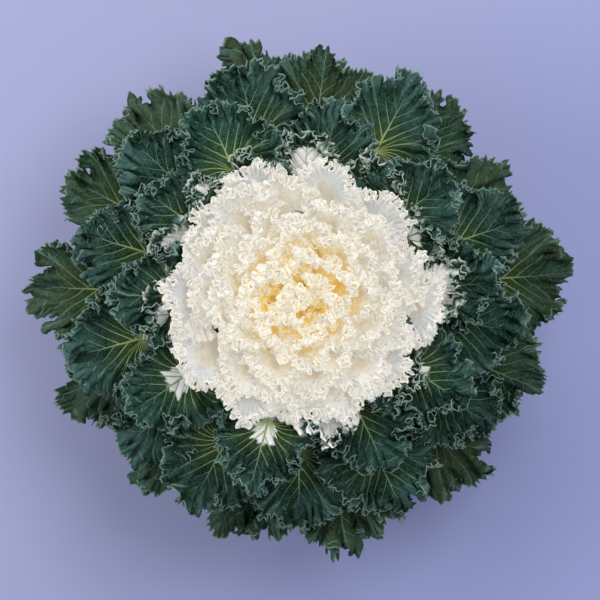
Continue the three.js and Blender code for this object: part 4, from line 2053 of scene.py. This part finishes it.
@dataclass
class Collar:
    """The leaves between the head and the green leaves, white at the foot and green outside."""

    finish: LeafFinish
    curl: Curl
    root: Point = (22.0, 179.0)
    elbow_share: float = 0.8  # of the reach
    elbow_height: float = 192.5
    tip_height: Pair = (204.0, 208.0)
    length: Pair = (41.0, 47.0)
    width: Pair = (43.0, 53.0)
    form: LeafForm = LeafForm(14.0, 14.0, root_thickness=2.4, thickness=0.38, half_angle=95.0)
    leaves: tuple[tuple[float, float, float], ...] = (
        (4, 110, 1.0), (28, 101, 0.6), (56, 105, 0.5), (87, 107, 0.75), (109, 99, 0.5),
        (131, 101, 1.0), (157, 102, 0.95), (188, 104, 0.7), (283, 100, 1.7), (320, 100, 0.5),
    )  # azimuth in degrees, reach, and how white

    def leaf(self, i: int) -> Leaf:
        """Plans one leaf.

        Args:
            i: its number, from 0.

        Returns:
            The leaf.
        """
        azimuth, reach, white = self.leaves[i]
        height = between(*self.tip_height, draw(i, Purpose.COLLAR_HEIGHT))
        elbow = (reach * self.elbow_share, self.elbow_height)
        return Leaf(
            azimuth=math.radians(azimuth),
            spine=Spine(self.root, elbow, (reach, height)),
            length=between(*self.length, draw(i, Purpose.COLLAR_LENGTH)),
            width=between(*self.width, draw(i, Purpose.COLLAR_WIDTH)),
            form=self.form,
            plan=HEAD_RINGS,
            odd=draw(i, Purpose.COLLAR_ODD),
            tint=white,
        )

    def build(self, workshop: Workshop) -> None:
        """Makes the collar in one piece.

        Args:
            workshop: what makes the mesh.
        """
        sheet = Sheet.joined([self.leaf(i).sheet() for i in range(len(self.leaves))])
        piece = workshop.sheet_object("white_head_collar", sheet)
        finishes = (self.finish.face(), self.finish.back(), self.finish.rim())
        workshop.curl(piece, sheet, self.curl, finishes)
        workshop.settle([piece])
        workshop.hand_over(piece, ["white_head"], "head")


@dataclass
class WhiteHead:
    """The white head: curly leaves on a low dome, each turned by the golden angle.

    Lengths are in mm, and a pair is the value at the heart and the one at the rim.
    """

    leaves: int = 54
    golden_angle: float = 137.508
    reach: float = 90.0
    longer: tuple[float, ...] = (
        6, -5, -5, 1, 3, 0, 6, 5, 0, -2, 7, 8, 13, -3, 6, 0, 2, 0, 3, 7, 5,
    )  # what each leaf from the rim in reaches past its place in the dome
    crowding: float = 0.62
    first_step: float = 0.9  # how far in from the rim the first leaf is, in leaves
    tip_height: Pair = (233.0, 217.0)
    root_radius: Pair = (2.0, 23.0)
    root_height: Pair = (201.0, 184.0)
    elbow_share: Pair = (1.0, 0.86)
    elbow_out: Pair = (4.0, 0.0)
    elbow_height: Pair = (212.0, 200.5)
    length: Pair = (21.0, 42.0)
    width: Pair = (29.0, 58.0)
    root_width: Pair = (5.0, 16.0)
    vigour: Pair = (1.25, 1.0)
    form: LeafForm = LeafForm(root_thickness=2.4, half_angle=100.0, wrap=0.9, least_bend=9.0)
    reach_variety: float = 4.0
    height_variety: float = 5.0
    turn_variety: float = 18.0  # in degrees
    heart_tint: float = 1.15
    tint_fall: float = 1.35  # from the heart to the rim
    bands: tuple[tuple[str, int, int, float], ...] = (
        ("outer", 15, 384, 1.0),
        ("middle", 30, 304, 0.95),
        ("heart", 54, 240, 0.8),
    )  # name, last leaf, margin's facets and how long the waves are
    curl: Curl = Curl(
        sweep=Wave(3.0, 45.0, 0.25),
        roll=Roll(0.64, 11.0, 0.9, 16.0),
        fold=Wave(3.2, 5.4, 0.46, sway=0.28, reach=0.12),
        crimp=Wave(1.05, 1.45, 0.60, sway=0.3, reach=0.25),
        tooth=Wave(0.36, 1.15, 0.78, reach=2.8),
    )

    def _spine(self, j: int, tip: float, outer: float) -> Spine:
        """Gives the spine of one leaf.

        Args:
            j: its number, from 0.
            tip: how far its tip is from the axis.
            outer: how far out it grows, 0 at the heart and 1 at the rim.

        Returns:
            The spine.
        """
        swung = self.height_variety * swing(j, Purpose.HEAD_HEIGHT)
        elbow = tip * between(*self.elbow_share, outer) + between(*self.elbow_out, outer)
        return Spine(
            (between(*self.root_radius, outer), between(*self.root_height, outer)),
            (elbow, between(*self.elbow_height, outer)),
            (tip, between(*self.tip_height, outer**2) + swung),
        )

    def leaf(self, j: int, margin: int) -> Leaf:
        """Plans one leaf, counted from the rim in.

        Args:
            j: its number, from 0.
            margin: how many facets its margin has.

        Returns:
            The leaf.
        """
        inward = (j + self.first_step) / self.leaves
        tip = self.reach * (1 - inward) ** self.crowding
        tip = tip + self.reach_variety * swing(j, Purpose.HEAD_REACH)
        outer = tip / self.reach
        if j < len(self.longer):
            tip += self.longer[j]
        turn = j * self.golden_angle + self.turn_variety * swing(j, Purpose.HEAD_TURN)
        foot = between(*self.root_width, outer)
        return Leaf(
            azimuth=math.radians(turn),
            spine=self._spine(j, tip, outer),
            length=between(*self.length, outer),
            width=between(*self.width, outer),
            form=replace(self.form, root_width=foot, neck_width=foot),
            plan=replace(HEAD_RINGS, margin=margin),
            odd=draw(j, Purpose.HEAD_ODD),
            vigour=between(*self.vigour, outer),
            tint=max(0.0, self.heart_tint - self.tint_fall * outer),
        )

    def build(self, workshop: Workshop) -> None:
        """Makes the head in three pieces, from the rim to the heart.

        Args:
            workshop: what makes the meshes.
        """
        face = HeadFinish().face()
        pieces = []
        first = 0
        for name, end, margin, fineness in self.bands:
            sheet = Sheet.joined([self.leaf(j, margin).sheet() for j in range(first, end)])
            piece = workshop.sheet_object(f"white_head_{name}", sheet)
            workshop.curl(piece, sheet, self.curl.finer(fineness), (face, face, face))
            pieces.append(piece)
            first = end
        workshop.settle(pieces)
        for piece in pieces:
            workshop.hand_over(piece, ["white_head"], "head")


@dataclass(frozen=True)
class Lamp:
    """A soft square lamp that points at the plant."""

    name: str
    place: tuple[float, float, float]
    size: float
    power: float
    colour: Colour

    AIM = Vector((0, 0, 0.15))

    def hang(self) -> None:
        """Hangs the lamp."""
        data = bpy.data.lights.new(self.name, "AREA")
        data.size = self.size
        data.energy = self.power
        data.color = self.colour
        lamp = bpy.data.objects.new(self.name, data)
        lamp.location = self.place
        lamp.rotation_euler = (self.AIM - Vector(self.place)).to_track_quat("-Z", "Y").to_euler()
        bpy.context.scene.collection.objects.link(lamp)


@dataclass
class Studio:
    """The camera, the floor and the lights."""

    frame_width: float = 0.390  # what the picture spans at the height of the leaves
    focus_height: float = 0.165
    distance: float = 2.4
    sensor: float = 36.0
    centre: Pair = (0.00065, -0.0026)  # x and y below the camera
    floor_size: float = 8.0
    air: Colour = (0.93, 0.95, 1.0)
    air_strength: float = 0.54
    lamps: tuple[Lamp, ...] = (
        Lamp("key_lamp", (0.45, 0.38, 1.9), 0.8, 16.5, (1.0, 0.975, 0.93)),
        Lamp("side_lamp", (-1.2, 0.08, 1.1), 0.9, 11.4, (1.0, 0.965, 0.92)),
        Lamp("back_lamp", (0.0, 1.2, 1.1), 0.9, 10.9, (1.0, 0.97, 0.93)),
    )

    def camera(self) -> None:
        """Sets the camera straight above the plant, with +Y at the top of its picture."""
        data = bpy.data.cameras.new("camera")
        data.sensor_width = self.sensor
        data.lens = self.sensor * self.distance / self.frame_width
        camera = bpy.data.objects.new("camera", data)
        camera.location = (*self.centre, self.focus_height + self.distance)
        bpy.context.scene.collection.objects.link(camera)
        bpy.context.scene.camera = camera

    def floor(self) -> None:
        """Lays the pale floor that the pot stands on."""
        half = self.floor_size / 2
        corners = [(-half, -half, 0), (half, -half, 0), (half, half, 0), (-half, half, 0)]
        mesh = bpy.data.meshes.new("studio_floor")
        mesh.from_pydata(corners, [], [(0, 1, 2, 3)])
        mesh.materials.append(FloorFinish().material())
        floor = Workshop.to_object("studio_floor", mesh)

    def lights(self) -> None:
        """Hangs the lamps in pale studio air."""
        for lamp in self.lamps:
            lamp.hang()
        world = bpy.data.worlds.new("studio_air")
        world.use_nodes = True
        graph = Graph(world.node_tree)
        air = graph.wire("ShaderNodeBackground", None, {0: (*self.air, 1.0), 1: self.air_strength})
        graph.add("ShaderNodeOutputWorld", None, {0: air})
        bpy.context.scene.world = world
        bpy.context.scene.view_settings.view_transform = "Standard"

    def build(self) -> None:
        """Sets up the whole studio."""
        self.camera()
        self.floor()
        self.lights()


LOWER = Whorl(
    tier=Tier.LOWER,
    first_level=0,
    blade_length=62.0,
    blade_width=84.0,
    leaves=(
        (5, 183), (29, 158), (52, 167), (84, 166), (101, 171), (131, 172), (153, 174),
        (178, 180), (203, 172), (228, 164), (256, 167), (281, 174), (314, 172), (339, 172),
    ),
    finish=LeafFinish(
        "lower_leaf",
        deep=(0.002, 0.015, 0.002),
        fresh=(0.008, 0.030, 0.009),
        old=(0.036, 0.045, 0.008),
        old_share=0.44,
        bloom=(0.048, 0.090, 0.068),
    ),
    curl=Curl(
        sweep=Wave(7.0, 60.0, 0.15),
        roll=Roll(0.78, 10.0, 1.1, 26.0),
        fold=Wave(4.8, 15.0, 0.56, sway=0.26, reach=0.15),
        crimp=Wave(1.8, 3.6, 0.74, sway=0.28, reach=0.5),
        tooth=Wave(0.75, 2.3, 0.84, reach=2.4),
    ),
    form=LeafForm(lobes=6.4, lobe_depth=0.13),
)
MIDDLE = Whorl(
    tier=Tier.MIDDLE,
    first_level=2,
    blade_length=60.0,
    blade_width=80.0,
    leaves=(
        (19, 156), (62, 160), (105, 158), (137, 150), (164, 151), (195, 159),
        (221, 154), (243, 156), (270, 155), (296, 160), (326, 155), (351, 149),
    ),
    finish=LeafFinish(
        "middle_leaf",
        deep=(0.001, 0.012, 0.002),
        fresh=(0.005, 0.029, 0.014),
        old=(0.014, 0.028, 0.006),
        old_share=0.0,
    ),
    curl=Curl(
        sweep=Wave(7.0, 50.0, 0.2),
        roll=Roll(0.74, 12.0, 1.4, 20.0),
        fold=Wave(4.6, 9.5, 0.6, sway=0.27, reach=0.14),
        crimp=Wave(1.6, 1.9, 0.74, sway=0.3, reach=0.5),
        tooth=Wave(0.5, 1.6, 0.86, reach=2.4),
    ),
    plan=replace(GREEN_RINGS, margin=608),
)
UPPER = Whorl(
    tier=Tier.UPPER,
    first_level=4,
    blade_length=54.0,
    blade_width=74.0,
    leaves=(
        (4, 130), (38, 127), (79, 130), (117, 139), (146, 124),
        (180, 122), (215, 133), (256, 130), (297, 126), (327, 129),
    ),
    finish=LeafFinish(
        "upper_leaf",
        deep=(0.001, 0.012, 0.003),
        fresh=(0.006, 0.031, 0.017),
        old=(0.016, 0.032, 0.009),
        old_share=0.0,
    ),
    curl=Curl(
        sweep=Wave(6.0, 44.0, 0.2),
        roll=Roll(0.70, 13.0, 1.5, 18.0),
        fold=Wave(4.0, 7.2, 0.58, sway=0.28, reach=0.14),
        crimp=Wave(1.4, 1.5, 0.72, sway=0.3, reach=0.4),
        tooth=Wave(0.4, 1.3, 0.86, reach=2.2),
    ),
    plan=replace(GREEN_RINGS, margin=704),
    whitened={6: 0.5, 7: 0.42, 9: 0.4, 5: 0.4, 1: 0.3},
)
COLLAR = Collar(
    finish=replace(
        UPPER.finish,
        name="collar_leaf",
        mint=(0.50, 0.58, 0.50),
        mint_start=0.9,
        mint_share=0.85,
        pale=(0.90, 0.90, 0.86),
        lilac=(0.78, 0.80, 0.84),
    ),
    curl=Curl(
        sweep=Wave(3.0, 50.0, 0.2),
        roll=Roll(0.62, 14.0, 1.5, 18.0),
        fold=Wave(3.7, 6.4, 0.5, sway=0.28, reach=0.14),
        crimp=Wave(1.35, 1.5, 0.66, sway=0.3, reach=0.25),
        tooth=Wave(0.35, 1.3, 0.84, reach=1.8),
    ),
)


def write_sizes() -> None:
    """Updates the view layer."""
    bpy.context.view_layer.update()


def main() -> None:
    """Builds the potted plant from the ground up, then the studio, and updates the view layer."""
    logging.basicConfig(level=logging.INFO, format="%(name)s: %(message)s")
    workshop = Workshop()
    pot = Pot()
    mix = PottingMix()
    stem = Stem()
    pot.build(workshop)
    mix.build(workshop, pot, stem.radius)
    stem.build(workshop, pot.height - mix.depth_below_rim, Levels().first_height)
    for whorl in (LOWER, MIDDLE, UPPER):
        whorl.build(workshop)
    WhiteHead().build(workshop)
    COLLAR.build(workshop)
    Studio().build()
    write_sizes()


if __name__ == "__main__":
    main()
